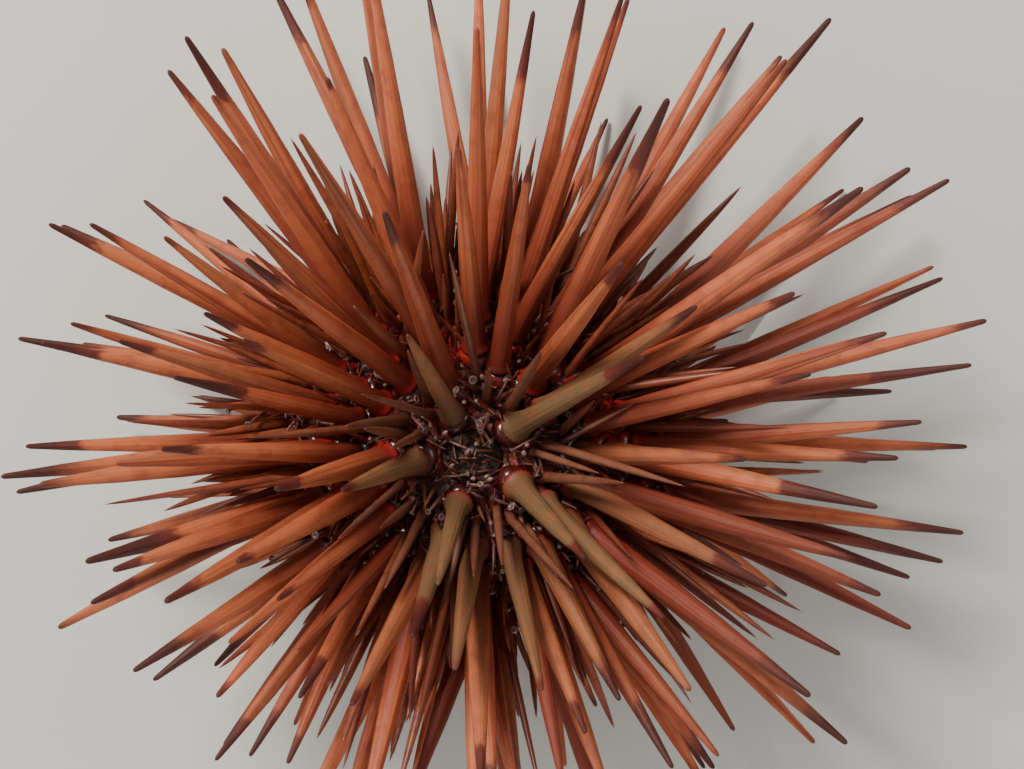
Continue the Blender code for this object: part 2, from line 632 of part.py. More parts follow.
def main():
    for obj in list(bpy.data.objects):
        bpy.data.objects.remove(obj)
    zone, kind, base, aim, length, radius, stands = plan_spines()
    tips = base + aim * length[:, None]
    centre = (tips.min(axis=0) + tips.max(axis=0)) / 2
    urchin = bpy.data.objects.new("urchin", None)
    urchin.location = (-centre[0], -centre[1], 0)
    bpy.context.scene.collection.objects.link(urchin)

    spined = material("spined_shell", COLOURS["zone"])
    for number in range(2 * ZONES):
        wide = number % 2 == 0
        middle = FIRST_WIDE_ZONE + number * ZONE_TURN / 2
        half = WIDE_HALF if wide else ZONE_TURN / 2 - WIDE_HALF
        spines = []
        for k in np.flatnonzero(zone == number):
            needle = kind[k] == 2
            sides = NEEDLE_SIDES if needle else SPINE_SIDES
            stations = () if needle else STATIONS
            form = (Vector(base[k]), Vector(aim[k]), float(length[k]), float(radius[k]))
            spines.append(spine_mesh(*form, sides, bool(stands[k]), stations))
        name = ("wide_zone_" if wide else "narrow_zone_") + str(number // 2 + 1)
        joined(name, zone_shell(middle - half, middle + half), spines, spined, urchin)

    level = vent_level()
    rim = VENT_RADIUS - GAP
    seat = level - VENT_SEAT + GAP
    bump = [(0, 0.5), (0.6, 0.42), (1.0, 0.1)]
    dome = [(radius * MM, level + height * MM) for radius, height in bump] + [(rim, level)]
    sides = [2 * math.pi * k / 20 for k in range(20)]
    disc = turned([*dome, (rim, seat), (0, seat)], sides)
    plates = [plate_mesh(math.radians(FIRST_WIDE_ZONE + z * ZONE_TURN)) for z in range(ZONES)]
    joined("vent_plates", disc, plates, material("vent", COLOURS["vent"]), urchin)

    low = shell_profile()[-3][1]
    rim = MOUTH_RADIUS - GAP
    seat = low + MOUTH_SEAT - GAP
    lip = WIDEST_LEVEL - UNDERSIDE_DEPTH - 0.3 * MM
    skin = [(0, seat), (rim, seat), (rim, low), (0.62 * MOUTH_RADIUS, low - 0.5 * MM), (LIP_RADIUS, lip)]
    mouth = turned([*skin, (LIP_RADIUS * 0.72, lip + 0.35 * MM), (0, lip + 0.8 * MM)], sides)
    teeth = [tooth_mesh(math.radians(FIRST_WIDE_ZONE + z * ZONE_TURN)) for z in range(ZONES)]
    joined("mouth", mouth, teeth, material("mouth", COLOURS["mouth"]), urchin)


main()
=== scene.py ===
import math

import bpy
import numpy as np
from mathutils import Matrix, Vector


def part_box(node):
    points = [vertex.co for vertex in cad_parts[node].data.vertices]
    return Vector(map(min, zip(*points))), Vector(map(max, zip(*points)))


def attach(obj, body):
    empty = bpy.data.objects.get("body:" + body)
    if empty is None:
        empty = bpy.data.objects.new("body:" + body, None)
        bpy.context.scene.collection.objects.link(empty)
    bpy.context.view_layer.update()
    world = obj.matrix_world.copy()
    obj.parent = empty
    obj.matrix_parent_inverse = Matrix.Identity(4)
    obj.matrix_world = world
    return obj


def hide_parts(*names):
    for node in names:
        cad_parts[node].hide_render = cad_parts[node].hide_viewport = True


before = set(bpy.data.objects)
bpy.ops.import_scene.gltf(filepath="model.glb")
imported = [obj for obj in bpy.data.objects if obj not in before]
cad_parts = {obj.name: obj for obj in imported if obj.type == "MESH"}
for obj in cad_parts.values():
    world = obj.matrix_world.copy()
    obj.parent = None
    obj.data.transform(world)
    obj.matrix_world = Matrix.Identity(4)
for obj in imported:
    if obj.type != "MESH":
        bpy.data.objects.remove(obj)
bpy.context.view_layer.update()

MM = 0.001

# The test
# The urchin's shell is an oval dome of limy plates under a thin living skin. The skin is dark
# maroon and wet, with pale grains, a low boss under each spine and a soft ring round the mouth.
TEST_LENGTH = 43 * MM
TEST_WIDTH = 38.5 * MM
CROWN_HEIGHT = 12.5 * MM
UNDERSIDE_DEPTH = 8.5 * MM
WIDEST_LEVEL = 15 * MM
ZONES = 5
FIRST_WIDE_ZONE = math.radians(45)
ZONE_TURN = 2 * math.pi / ZONES
WIDE_HALF = math.radians(21.5)
MEAN_RADIUS = (TEST_LENGTH + TEST_WIDTH) / 4
SHELL_NODES = sorted(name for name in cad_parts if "zone" in name)
CROWN = (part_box("vent_plates")[0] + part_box("vent_plates")[1]) / 2
CENTRE = np.array([CROWN.x, CROWN.y, WIDEST_LEVEL])


def on_test(polar, around):
    """The shell: half its length and half its width times a sine, and a height times a cosine each way."""
    tall = np.where(np.cos(polar) > 0, CROWN_HEIGHT, UNDERSIDE_DEPTH)
    wide = TEST_LENGTH / 2 * np.sin(polar) * np.cos(around)
    deep = TEST_WIDTH / 2 * np.sin(polar) * np.sin(around)
    return np.stack([wide, deep, tall * np.cos(polar)], -1) + CENTRE


def outward(points):
    """The shell's normal: each coordinate over its half axis squared, made one long."""
    from_centre = points - CENTRE
    tall = np.where(from_centre[..., 2] > 0, CROWN_HEIGHT, UNDERSIDE_DEPTH)
    axes = np.stack([0 * tall + TEST_LENGTH / 2, 0 * tall + TEST_WIDTH / 2, tall], -1)
    normal = from_centre / axes**2
    return normal / np.linalg.norm(normal, axis=-1, keepdims=True)


def angles_of(points):
    """The polar angle and the turn round the axis of points on the shell, from its formula turned round."""
    x, y, z = (points - CENTRE).T
    tall = np.where(z > 0, CROWN_HEIGHT, UNDERSIDE_DEPTH)
    flat = np.hypot(x / (TEST_LENGTH / 2), y / (TEST_WIDTH / 2))
    return np.arctan2(flat, z / tall), np.arctan2(y / TEST_WIDTH, x / TEST_LENGTH)


def on_skin_map(points):
    """The skin's unwrap: the polar angle as the distance from the map's middle, the turn as direction."""
    polar, around = angles_of(points)
    reach = 0.47 * polar / math.pi
    return np.stack([0.5 + reach * np.cos(around), 0.5 + reach * np.sin(around)], -1)


def ring_faces(rows, columns):
    """Faces between rings of points that lie one below the other, closed by a point above and one below."""
    here = np.arange(rows * columns).reshape(rows, columns)
    there = np.roll(here, -1, axis=1)
    quads = np.stack([here[:-1], here[1:], there[1:], there[:-1]], -1).reshape(-1, 4)
    top = 0 * here[0] + rows * columns
    caps = np.stack([top, here[0], there[0]], -1), np.stack([here[-1], top + 1, there[-1]], -1)
    return quads, np.concatenate(caps)


def smooth(value, low, high):
    """Nought below low, one above high, and an even S between them."""
    t = np.clip((value - low) / (high - low), 0, 1)
    return t * t * (3 - 2 * t)


def surface(name, points, quads, triangles, maps, values, finish):
    """A smooth mesh from arrays: its points, four-cornered and three-cornered faces, maps and values."""
    corners = np.concatenate([quads.ravel(), triangles.ravel()])
    starts = np.concatenate([4 * np.arange(len(quads)), quads.size + 3 * np.arange(len(triangles))])
    mesh = bpy.data.meshes.new(name)
    mesh.vertices.add(len(points))
    mesh.vertices.foreach_set("co", np.asarray(points, np.float32).ravel())
    mesh.loops.add(len(corners))
    mesh.loops.foreach_set("vertex_index", corners.astype(np.int32))
    mesh.polygons.add(len(starts))
    mesh.polygons.foreach_set("loop_start", starts.astype(np.int32))
    mesh.update(calc_edges=True)
    mesh.validate()
    mesh.shade_smooth()
    for label, places in maps.items():
        layer = mesh.uv_layers.new(name=label)
        layer.data.foreach_set("uv", np.asarray(places, np.float32).ravel())
    for label, value in values.items():
        wide = np.ndim(value) > 1
        kept = mesh.attributes.new(label, "FLOAT_VECTOR" if wide else "FLOAT", "POINT")
        kept.data.foreach_set("vector" if wide else "value", np.asarray(value, np.float32).ravel())
    mesh.materials.append(finish)
    piece = bpy.data.objects.new(name, mesh)
    bpy.context.scene.collection.objects.link(piece)
    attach(piece, "root")
    return piece


def finish_of(name, **sockets):
    """A material: its node tree and its shader, with the shader's own values set."""
    made = bpy.data.materials.new(name)
    made.use_nodes = True
    shader = made.node_tree.nodes["Principled BSDF"]
    for socket, value in sockets.items():
        shader.inputs[socket.replace("_", " ")].default_value = value
    return made, made.node_tree, shader


def give(tree, socket, value):
    """Links another node's output to a socket, or sets a plain value on it."""
    if isinstance(value, bpy.types.NodeSocket):
        tree.links.new(value, socket)
    else:
        socket.default_value = value


def add(tree, kind, inputs=(), **settings):
    """One node: its settings, then its inputs by name or number, each a value or another node's output."""
    made = tree.nodes.new(kind)
    for label, value in settings.items():
        setattr(made, label, value)
    for label, value in dict(inputs).items():
        give(tree, made.inputs[label], value)
    return made


def times(tree, first, second):
    """One value times another."""
    return add(tree, "ShaderNodeMath", {0: first, 1: second}, operation="MULTIPLY").outputs[0]


def value_at(tree, label, vector=False):
    """The value that a piece carries at its points under this name."""
    read = add(tree, "ShaderNodeAttribute", attribute_name=label)
    return read.outputs["Vector" if vector else "Fac"]


def mixed(tree, share, low, high):
    """Low where the share is nought and high where it is one; both are colours or colour sockets."""
    node = tree.nodes.new("ShaderNodeMix")
    node.data_type = "RGBA"
    for label, value in (("Factor", share), ("A", low), ("B", high)):
        socket = next(s for s in node.inputs if s.name == label and (s.type == "RGBA" or label == "Factor"))
        give(tree, socket, value)
    return next(s for s in node.outputs if s.type == "RGBA")


def between(tree, value, low, high, to_low=0.0, to_high=1.0):
    """A value's stretch from low to high carried over to another stretch, smoothly, held at its ends."""
    given = {"Value": value, "From Min": low, "From Max": high, "To Min": to_low, "To Max": to_high}
    return add(tree, "ShaderNodeMapRange", given, interpolation_type="SMOOTHSTEP").outputs["Result"]


def noise(tree, vector, scale, detail=3.0, rough=0.55):
    """A cloudy value from nought to one over a vector."""
    given = {"Vector": vector, "Scale": scale, "Detail": detail, "Roughness": rough}
    return add(tree, "ShaderNodeTexNoise", given).outputs["Fac"]


def grains_group():
    """Small round grains: which of them show, and their height. Scale counts them and Share keeps some."""
    tree = bpy.data.node_groups.new("grains", "ShaderNodeTree")
    for label, kind in (("Vector", "Vector"), ("Scale", "Float"), ("Share", "Float"), ("Size", "Float")):
        tree.interface.new_socket(label, in_out="INPUT", socket_type="NodeSocket" + kind)
    for label in ("Mask", "Height"):
        tree.interface.new_socket(label, in_out="OUTPUT", socket_type="NodeSocketFloat")
    given = tree.nodes.new("NodeGroupInput").outputs
    cells = add(tree, "ShaderNodeTexVoronoi", {"Vector": given["Vector"], "Scale": given["Scale"]})
    drawn = add(tree, "ShaderNodeSeparateColor", {"Color": cells.outputs["Color"]})
    pair = {0: drawn.outputs["Red"], 1: given["Share"]}
    chosen = add(tree, "ShaderNodeMath", pair, operation="LESS_THAN").outputs[0]
    dome = between(tree, cells.outputs["Distance"], given["Size"], 0.0)
    add(tree, "NodeGroupOutput", {"Mask": times(tree, dome, chosen), "Height": dome})
    return tree


GRAINS = grains_group()


def grains(tree, vector, scale, share, size):
    """The grains group placed in a material with its own values."""
    given = {"Vector": vector, "Scale": scale, "Share": share, "Size": size}
    return add(tree, "ShaderNodeGroup", given, node_tree=GRAINS).outputs


def dressed(tree, shader, base, *layers):
    """The shader's colour, and bump nodes one after the other: each layer is a height, its depth in metres
    and its strength."""
    tree.links.new(base, shader.inputs["Base Color"])
    normal = None
    for height, depth, strength in layers:
        made = add(tree, "ShaderNodeBump", {"Height": height, "Distance": depth, "Strength": strength})
        if normal:
            tree.links.new(normal, made.inputs["Normal"])
        normal = made.outputs["Normal"]
    tree.links.new(normal, shader.inputs["Normal"])


# How the solids' spines are read: their collar, the ring nearest the tip and how many of its radii
# lie between it and the tip at least, what still counts as the floor, and the law of their taper
SOLID_COLLAR = 1.1 * MM
SOLID_RING = 0.8
TIP_REACH = 2.2
AT_FLOOR = 0.001 * MM
SHAFT_SHARE = 0.94
TIP_SHARE = 0.22
TAPER_POWER = 2.0


def taper(share):
    """A spine's girth by the share of its length: full at the foot, then ever less to a blunt tip."""
    return TIP_SHARE + (1 - TIP_SHARE) * (1 - np.clip(share, 0, 1) ** TAPER_POWER)


def welded(mesh):
    """A solid's points, each once, and the set of neighbours of each."""
    mesh.calc_loop_triangles()
    points = np.empty(3 * len(mesh.vertices), np.float32)
    mesh.vertices.foreach_get("co", points)
    corners = np.empty(3 * len(mesh.loop_triangles), np.int32)
    mesh.loop_triangles.foreach_get("vertices", corners)
    points = points.reshape(-1, 3).astype(float)
    _, first, index = np.unique(np.round(points / 1e-7), axis=0, return_index=True, return_inverse=True)
    faces = index.reshape(-1)[corners].reshape(-1, 3)
    near = [set() for _ in first]
    for a, b in np.concatenate([faces[:, [0, 1]], faces[:, [1, 2]], faces[:, [2, 0]]]):
        near[a].add(b)
        near[b].add(a)
    return points[first], near


def spines_of(mesh):
    """Each spine of a solid: foot, direction, length, radius and whether it is a needle.
    A tip is a point with a ring of five round it, or three on a needle, and the axis runs from the ring's
    middle to it. A standing spine ends in a small flat on the floor, whose middle is its tip."""
    points, near = welded(mesh)
    flat = set(np.flatnonzero(points[:, 2] < AT_FLOOR))
    tips = [([k], near[k]) for k in range(len(points)) if k not in flat and len(near[k]) in (3, 5)]
    while flat:
        foot, more = set(), {flat.pop()}
        while more:
            k = more.pop()
            foot.add(k)
            more |= near[k] & flat
            flat -= more
        tips.append((list(foot), set.union(*(near[k] for k in foot)) - foot))
    found = []
    for end, ring in tips:
        tip = points[end].mean(axis=0)
        ring = points[list(ring)]
        middle = ring.mean(axis=0)
        wide = np.linalg.norm(ring - middle, axis=1).mean()
        reach = np.linalg.norm(tip - middle)
        if reach < TIP_REACH * wide:
            continue
        needle = len(ring) == 3
        length = reach + SOLID_COLLAR if needle else reach / (1 - SOLID_RING)
        aim = (tip - middle) / reach
        radius = wide if needle else wide / (SHAFT_SHARE * float(taper(SOLID_RING)))
        found.append((*(tip - length * aim), *aim, length, radius, needle))
    return np.array(found)


read = {name: spines_of(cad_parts[name].data) for name in SHELL_NODES}
spine_node = np.concatenate([[name] * len(rows) for name, rows in read.items()])
spine_rows = np.concatenate(list(read.values()))
spine_foot, spine_aim = spine_rows[:, :3], spine_rows[:, 3:6]
spine_length, spine_radius, spine_needle = spine_rows[:, 6], spine_rows[:, 7], spine_rows[:, 8] > 0.5

SKIN_ROWS = 218
SKIN_COLUMNS = 420
SKIN_DEPTH = 0.12 * MM
BOSS_RISE = 0.5 * MM
DITCH_DEPTH = 0.12 * MM
SEAMS_IN_RADIAN = 17
SEAM_DEPTH = 0.06 * MM
WRINKLE_RISE = 0.05 * MM
VENT_RADIUS = 3.3 * MM
VENT_SINK = 0.9 * MM
MOUTH_RADIUS = 8.6 * MM
MEMBRANE_FOLDS = 22
MEMBRANE_SINK = 0.35 * MM
LIP_RADIUS = 2.9 * MM
LIP_RISE = 0.75 * MM
THROAT_DEPTH = 1.7 * MM


def from_axis(points):
    """How far points lie from the shell's axis, with its oval made round."""
    across = (points[..., 0] - CENTRE[0]) / TEST_LENGTH
    deep = (points[..., 1] - CENTRE[1]) / TEST_WIDTH
    return 2 * MEAN_RADIUS * np.hypot(across, deep)


def folds(around, count, phase):
    """A few waves of unlike length round the axis, for soft folds."""
    return np.sin(count * around + phase) + 0.5 * np.sin((2 * count + 3) * around + 2.3 * phase)


def test_skin():
    """The skin on a grid of polar angle by turn, moved along the shell's normal: bosses under the spines,
    low zigzag seams between plates, a hollow under the vent's plates, and folds and a lip at the mouth."""
    polar = np.linspace(0.0, math.pi, SKIN_ROWS + 2)[1:-1]
    around = np.linspace(0, 2 * math.pi, SKIN_COLUMNS, endpoint=False)
    polar, around = (values.ravel() for values in np.meshgrid(polar, around, indexing="ij"))
    points = on_test(polar, around)
    rise = np.full(len(points), -SKIN_DEPTH)
    reddened = np.zeros(len(points))
    for foot, radius, needle in zip(spine_foot, spine_radius, spine_needle):
        near = np.flatnonzero(np.abs(points - foot).max(axis=1) < 3.6 * radius + 0.4 * MM)
        away = np.linalg.norm(points[near] - foot, axis=1)
        size = radius * (1.0 if needle else 1.15)
        boss = BOSS_RISE * (0.5 if needle else 1.0) * (1 - smooth(away, 0.75 * size, 1.7 * size))
        ditch = DITCH_DEPTH * (smooth(away, 1.5 * size, 1.9 * size) - smooth(away, 2.1 * size, 2.6 * size))
        rise[near] += np.maximum(boss - ditch, -0.3 * MM)
        reddened[near] = np.maximum(reddened[near], 1 - smooth(away, 1.3 * size, 2.9 * size))
    out = from_axis(points)
    below = points[:, 2] < WIDEST_LEVEL
    zone = (around - FIRST_WIDE_ZONE) / ZONE_TURN % 1.0
    seam = np.abs((polar * SEAMS_IN_RADIAN + 2.2 * np.abs(zone - 0.5)) % 1.0 - 0.5)
    rise -= SEAM_DEPTH * (1 - smooth(seam, 0.0, 0.07)) * (out > VENT_RADIUS)
    wrinkles = folds(around * 3 + polar * 9, 7, 1.0) * np.sin(polar * 41 + 3 * np.sin(around * 5))
    rise += WRINKLE_RISE * wrinkles
    vent = smooth(out, 0.90 * VENT_RADIUS, 0.97 * VENT_RADIUS)
    rise = np.where(below, rise, rise * vent - VENT_SINK * (1 - vent))
    inside = below * (1 - smooth(out, 0.93 * MOUTH_RADIUS, 1.0 * MOUTH_RADIUS))
    wave = folds(around, MEMBRANE_FOLDS, 0.4) * smooth(out, LIP_RADIUS, 1.6 * LIP_RADIUS) * 0.11 * MM
    ridges = 0.13 * MM * np.sin(out / MM * 4.2 + 0.7 * np.sin(5 * around))
    slope = 0.3 * MM * smooth(-out, -0.9 * MOUTH_RADIUS, -0.4 * MOUTH_RADIUS)
    membrane = slope + wave + ridges - MEMBRANE_SINK
    lip = np.exp(-(((out - 0.92 * LIP_RADIUS) / (0.62 * MM)) ** 2))
    lip *= LIP_RISE + 0.1 * MM * np.sin(25 * around)
    throat = -THROAT_DEPTH * (1 - smooth(out, 0.35 * LIP_RADIUS, 0.85 * LIP_RADIUS))
    rise = rise * (1 - inside) + (membrane + lip + throat) * inside
    points = points + rise[:, None] * outward(points)
    quads, caps = ring_faces(SKIN_ROWS, SKIN_COLUMNS)
    ends = np.array([on_test(0.0, 0.0), on_test(math.pi, 0.0)])
    ends[0, 2] -= VENT_SINK
    ends[1, 2] += MEMBRANE_SINK + THROAT_DEPTH
    points = np.concatenate([points, ends])
    member = np.concatenate([inside, [0, 1]])
    reddened = np.concatenate([reddened * (1 - inside), [0, 0]])
    return points, quads, caps, {"reddened": reddened, "membrane": member}


def skin_finish():
    """Wet dark maroon skin: cloudy red and purple with pale grains, redder round the spines and browner at
    the mouth."""
    made, tree, shader = finish_of(
        "living_skin", Roughness=0.42, Specular_IOR_Level=0.4, Subsurface_Weight=0.08,
        Subsurface_Radius=(0.0012, 0.0004, 0.0003), Subsurface_Scale=1.0,
        Coat_Weight=0.1, Coat_Roughness=0.25,
    )
    place = add(tree, "ShaderNodeTexCoord").outputs["Object"]
    cloud = between(tree, noise(tree, place, 260.0, 4.0), 0.38, 0.66)
    base = mixed(tree, cloud, (0.026, 0.008, 0.008, 1), (0.070, 0.017, 0.013, 1))
    broad = between(tree, noise(tree, place, 90.0, 2.0), 0.45, 0.62)
    base = mixed(tree, broad, base, (0.046, 0.019, 0.021, 1))
    red = times(tree, value_at(tree, "reddened"), between(tree, noise(tree, place, 150.0), 0.4, 0.6))
    base = mixed(tree, red, base, (0.23, 0.012, 0.009, 1))
    base = mixed(tree, value_at(tree, "membrane"), base, (0.13, 0.045, 0.038, 1))
    fine = grains(tree, place, 1900.0, 0.2, 0.38)
    base = mixed(tree, fine["Mask"], base, (0.20, 0.11, 0.075, 1))
    coarse = grains(tree, place, 900.0, 0.09, 0.3)
    base = mixed(tree, coarse["Mask"], base, (0.26, 0.20, 0.14, 1))
    dressed(
        tree, shader, base, (noise(tree, place, 700.0, 4.0), 0.00025, 0.5),
        (fine["Height"], 0.0001, 0.5), (coarse["Height"], 0.00015, 0.5),
    )
    return made


skin_points, skin_quads, skin_caps, skin_values = test_skin()
skin_corners = np.concatenate([skin_quads.ravel(), skin_caps.ravel()])
skin = surface(
    "test_skin", skin_points, skin_quads, skin_caps, {"OFBake": on_skin_map(skin_points)[skin_corners]},
    skin_values, skin_finish(),
)
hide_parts(*SHELL_NODES, "mouth")


# The spines
# Each stout spine is one tapering rod of lime, fluted along its length and skinned in terracotta, with a
# milled ring above its foot and a maroon tip. It turns on a boss of the shell in a cup of muscle.
SPINE_SIDES = 48
SPINE_RIBS = 12
RIB_DEPTH = 0.022
RING_TEETH = 24
RING_LEVEL = 1.25 * MM
RING_WIDTH = 0.45 * MM
CUP_SINK = 0.5 * MM
TIP_LENGTH = 0.5 * MM
OLIVE_REACH = 9.0 * MM
OLIVE_FARTHER = 0.35
OLIVE_TOWARDS = math.radians(-50)
DARKER_ALONG_X = 0.12
# How many more spines are wine red towards one side: painted shade on that side
WINE_SHADE_TO_ONE_SIDE = 0.3
CROWN_FLARE = 0.17
SPINE_PATCH = 0.026
TUFT_PATCH = 0.003
SHAFT_STEPS = (0.0, 0.05, 0.11, 0.18, 0.26, 0.35, 0.44, 0.53, 0.62, 0.70, 0.78, 0.85, 0.91, 0.96)
CUP_LEVELS = tuple(v * MM for v in (-0.5, 0.1, 0.5, 0.8, 1.02, 1.25, 1.48, 1.7, 2.1, 2.7))
CUP_GIRTH = (0.62, 0.80, 0.97, 1.08, 1.15, 1.2, 1.15, 1.06, 1.0, 0.96)


def frame_round(aim):
    """Two directions across each axis, at right angles to it and to each other."""
    helper = np.where(np.abs(aim[:, 2:3]) < 0.95, [[0.0, 0.0, 1.0]], [[1.0, 0.0, 0.0]])
    side = np.cross(aim, helper)
    side /= np.linalg.norm(side, axis=1, keepdims=True)
    return side, np.cross(aim, side)


def tubes(middles, sides_at, others_at, girths, tips, roots, sides):
    """Closed tubes, one for each row of middles: rings across the path, and a point at each end.
    A ring's point is the middle plus the girth times cosine of one side and sine of the other."""
    count, rows = girths.shape[:2]
    turn = 2 * math.pi * np.arange(sides) / sides
    wide = girths if girths.ndim == 3 else girths[:, :, None]
    ring = wide[..., None] * (
        np.cos(turn)[None, None, :, None] * sides_at[:, :, None, :]
        + np.sin(turn)[None, None, :, None] * others_at[:, :, None, :]
    )
    points = (middles[:, :, None, :] + ring).reshape(-1, 3)
    grid = np.arange(count * rows * sides).reshape(count, rows, sides)
    here, there = grid, np.roll(grid, -1, axis=2)
    quads = np.stack([here[:, :-1], there[:, :-1], there[:, 1:], here[:, 1:]], -1).reshape(-1, 4)
    tip = (len(points) + np.arange(count))[:, None] + 0 * here[:, 0]
    root = tip + count
    caps = np.concatenate([
        np.stack([here[:, -1], there[:, -1], tip], -1).reshape(-1, 3),
        np.stack([there[:, 0], here[:, 0], root], -1).reshape(-1, 3),
    ])
    return np.concatenate([points, tips, roots]), quads, caps


def corners_at(*pairs):
    """A face's corners one after another, each from a pair of arrays for across and up."""
    return np.stack([np.stack(pair, -1) for pair in pairs], -2)


def tube_map(places, along, sides, patch):
    """The tubes' map: each tube a patch at its root's place, its turn across it and its length up it."""
    low, high = along[:, :-1, None], along[:, 1:, None]
    left = (np.arange(sides) / sides)[None, None, :] + 0 * low
    right = left + 1 / sides
    low, high = low + 0 * left, high + 0 * left
    quad = corners_at((left, low), (right, low), (right, high), (left, high))
    left, right = left[:, 0], right[:, 0]
    middle = (left + right) / 2
    end, start = along[:, -1:] + 0 * left, along[:, :1] + 0 * left
    tip = corners_at((left, end), (right, end), (middle, 0 * end + 1))
    root = corners_at((right, start), (left, start), (middle, 0 * start))
    quad = places[:, None, None, None, :] + patch * (quad - 0.5)
    tip = places[:, None, None, :] + patch * (tip - 0.5)
    root = places[:, None, None, :] + patch * (root - 0.5)
    return np.concatenate([quad.reshape(-1, 2), tip.reshape(-1, 2), root.reshape(-1, 2)])


def each_point(values, count, rows, sides):
    """Values of each tube, or of each of its rings, spread to all its points and its two ends."""
    values = np.broadcast_to(values[:, None], (count, rows)) if np.ndim(values) == 1 else values
    rings = np.repeat(values, sides, axis=1).reshape(-1)
    return np.concatenate([rings, values[:, -1], values[:, 0]])


draw = np.random.default_rng(41)
stout = np.flatnonzero(~spine_needle)
spines = len(spine_foot)
# One value for each spine: how dull its shaft is, the share of its length where the tip's maroon starts,
# how pale and how ochre it is, how soft the tip's edge is and how red its foot
spine_looks = {
    "tone": draw.uniform(0, 1, spines),
    "dark_from": draw.triangular(0.64, 0.88, 1.02, spines) - DARKER_ALONG_X * spine_aim[:, 0] ** 2,
    "pale": draw.uniform(0, 1, spines) ** 2.5,
    "ochre": draw.uniform(0, 1, spines) ** 1.6,
    "soft": draw.uniform(0, 1, spines) ** 3,
    "flush": smooth(draw.uniform(0, 1, spines), 0.2, 0.7),
}
spine_flare = draw.uniform(0.9, 1.12, spines)
spine_phase = draw.uniform(0, 2 * math.pi, spines)
spine_shift = draw.uniform(0, 900, (spines, 2))
# Some are wine red along their whole length. More of them towards one side is painted shade, for the side
# of the urchin that lies in shade
towards = np.cos(np.arctan2(spine_aim[:, 1], spine_aim[:, 0]) - OLIVE_TOWARDS)
wine = np.random.default_rng(43).uniform(0, 1, spines) + WINE_SHADE_TO_ONE_SIDE * towards
spine_looks["wine"] = smooth(wine, 0.68, 1.15)


def olive_share(foot, aim):
    """How brown and olive a spine is: most for those near the crown that point up, none at 1.3 times the
    reach, which goes farther towards one side by a cosine of the turn."""
    x, y = (foot[:, :2] - CENTRE[:2]).T
    reach = OLIVE_REACH * (1 + OLIVE_FARTHER * np.cos(np.arctan2(y, x) - OLIVE_TOWARDS))
    return (1 - smooth(np.hypot(x, y) / reach, 0.6, 1.3)) * smooth(aim[:, 2], 0.25, 0.65)


def stout_spines(chosen):
    """Stout spines as tubes: the cup and milled ring at the foot, the fluted shaft and the blunt round tip.
    The girth is the taper law times waves round the axis, teeth on the ring and slow waves along the
    shaft."""
    count = len(chosen)
    foot, aim = spine_foot[chosen], spine_aim[chosen]
    length, radius = spine_length[chosen][:, None], spine_radius[chosen][:, None]
    cup, girth = np.array(CUP_LEVELS)[None] + 0 * length, np.array(CUP_GIRTH)[None] + 0 * length
    start, end = cup[:, -1:] + 0.9 * MM, length - TIP_LENGTH
    shaft = start + (end - start) * np.array(SHAFT_STEPS)[None]
    blunt = length - TIP_LENGTH * np.array([1.0, 0.62, 0.3, 0.08])[None]
    levels = np.concatenate([cup, shaft, blunt], 1)
    law = SHAFT_SHARE * taper(levels / length)
    law[:, : len(CUP_LEVELS)] = girth * (1 + (spine_flare[chosen][:, None] - 1) * smooth(girth, 0.9, 1.2))
    law *= 1 + CROWN_FLARE * olive_share(foot, aim)[:, None] * (1 - smooth(levels, 1.4 * MM, 4.6 * MM))
    law[:, -3:] *= np.array([0.93, 0.72, 0.36])
    wave = 1 + 0.018 * np.sin(levels / MM * 0.9 + spine_phase[chosen][:, None])
    turn = 2 * math.pi * np.arange(SPINE_SIDES) / SPINE_SIDES
    on_shaft = smooth(levels, 1.9 * MM, 3.4 * MM)[..., None]
    ribs = 1 + RIB_DEPTH * on_shaft * np.cos(SPINE_RIBS * turn + spine_phase[chosen][:, None, None])
    on_ring = np.exp(-(((levels - RING_LEVEL) / (0.5 * RING_WIDTH)) ** 2))[..., None]
    teeth = 1 + 0.05 * on_ring * np.cos(RING_TEETH * turn)
    girths = (radius * law * wave)[..., None] * ribs * teeth
    side, other = frame_round(aim)
    rows = levels.shape[1]
    side = np.broadcast_to(side[:, None], (count, rows, 3))
    other = np.broadcast_to(other[:, None], (count, rows, 3))
    middles = foot[:, None] + levels[..., None] * aim[:, None]
    tips = foot + length * aim
    roots = foot - CUP_SINK * aim
    points, quads, caps = tubes(middles, side, other, girths, tips, roots, SPINE_SIDES)
    points[:, 2] = np.maximum(points[:, 2], 0.0)
    along = np.clip(levels / length, 0.002, 0.998)
    shift = spine_shift[chosen][:, :, None]
    across = np.cos(turn)[None, None] * radius[..., None] / MM + shift[:, :1] + 0 * girths
    upright = np.sin(turn)[None, None] * radius[..., None] / MM + shift[:, 1:] + 0 * girths
    lie = np.stack([across, upright, levels[..., None] / MM + 0 * girths], -1).reshape(-1, 3)
    ends = np.concatenate([spine_shift[chosen], length / MM], 1)
    lie = np.concatenate([lie, ends, ends * [1, 1, 0]])
    maps = {"OFBake": tube_map(on_skin_map(foot), along, SPINE_SIDES, SPINE_PATCH)}
    values = {"along": levels / length, "from_foot": levels / MM, "olive": olive_share(foot, aim)}
    values.update({label: looks[chosen] for label, looks in spine_looks.items()})
    values = {label: each_point(value, count, rows, SPINE_SIDES) for label, value in values.items()}
    return points, quads, caps, maps, {**values, "lie": lie}


def darker(colour, share):
    """A colour with each of its parts taken times the share."""
    return tuple(share * part for part in colour[:3]) + (1,)


def plus(tree, first, second):
    """One value and another together."""
    return add(tree, "ShaderNodeMath", {0: first, 1: second}, operation="ADD").outputs[0]


MUSCLE_RED = (0.26, 0.010, 0.011, 1)


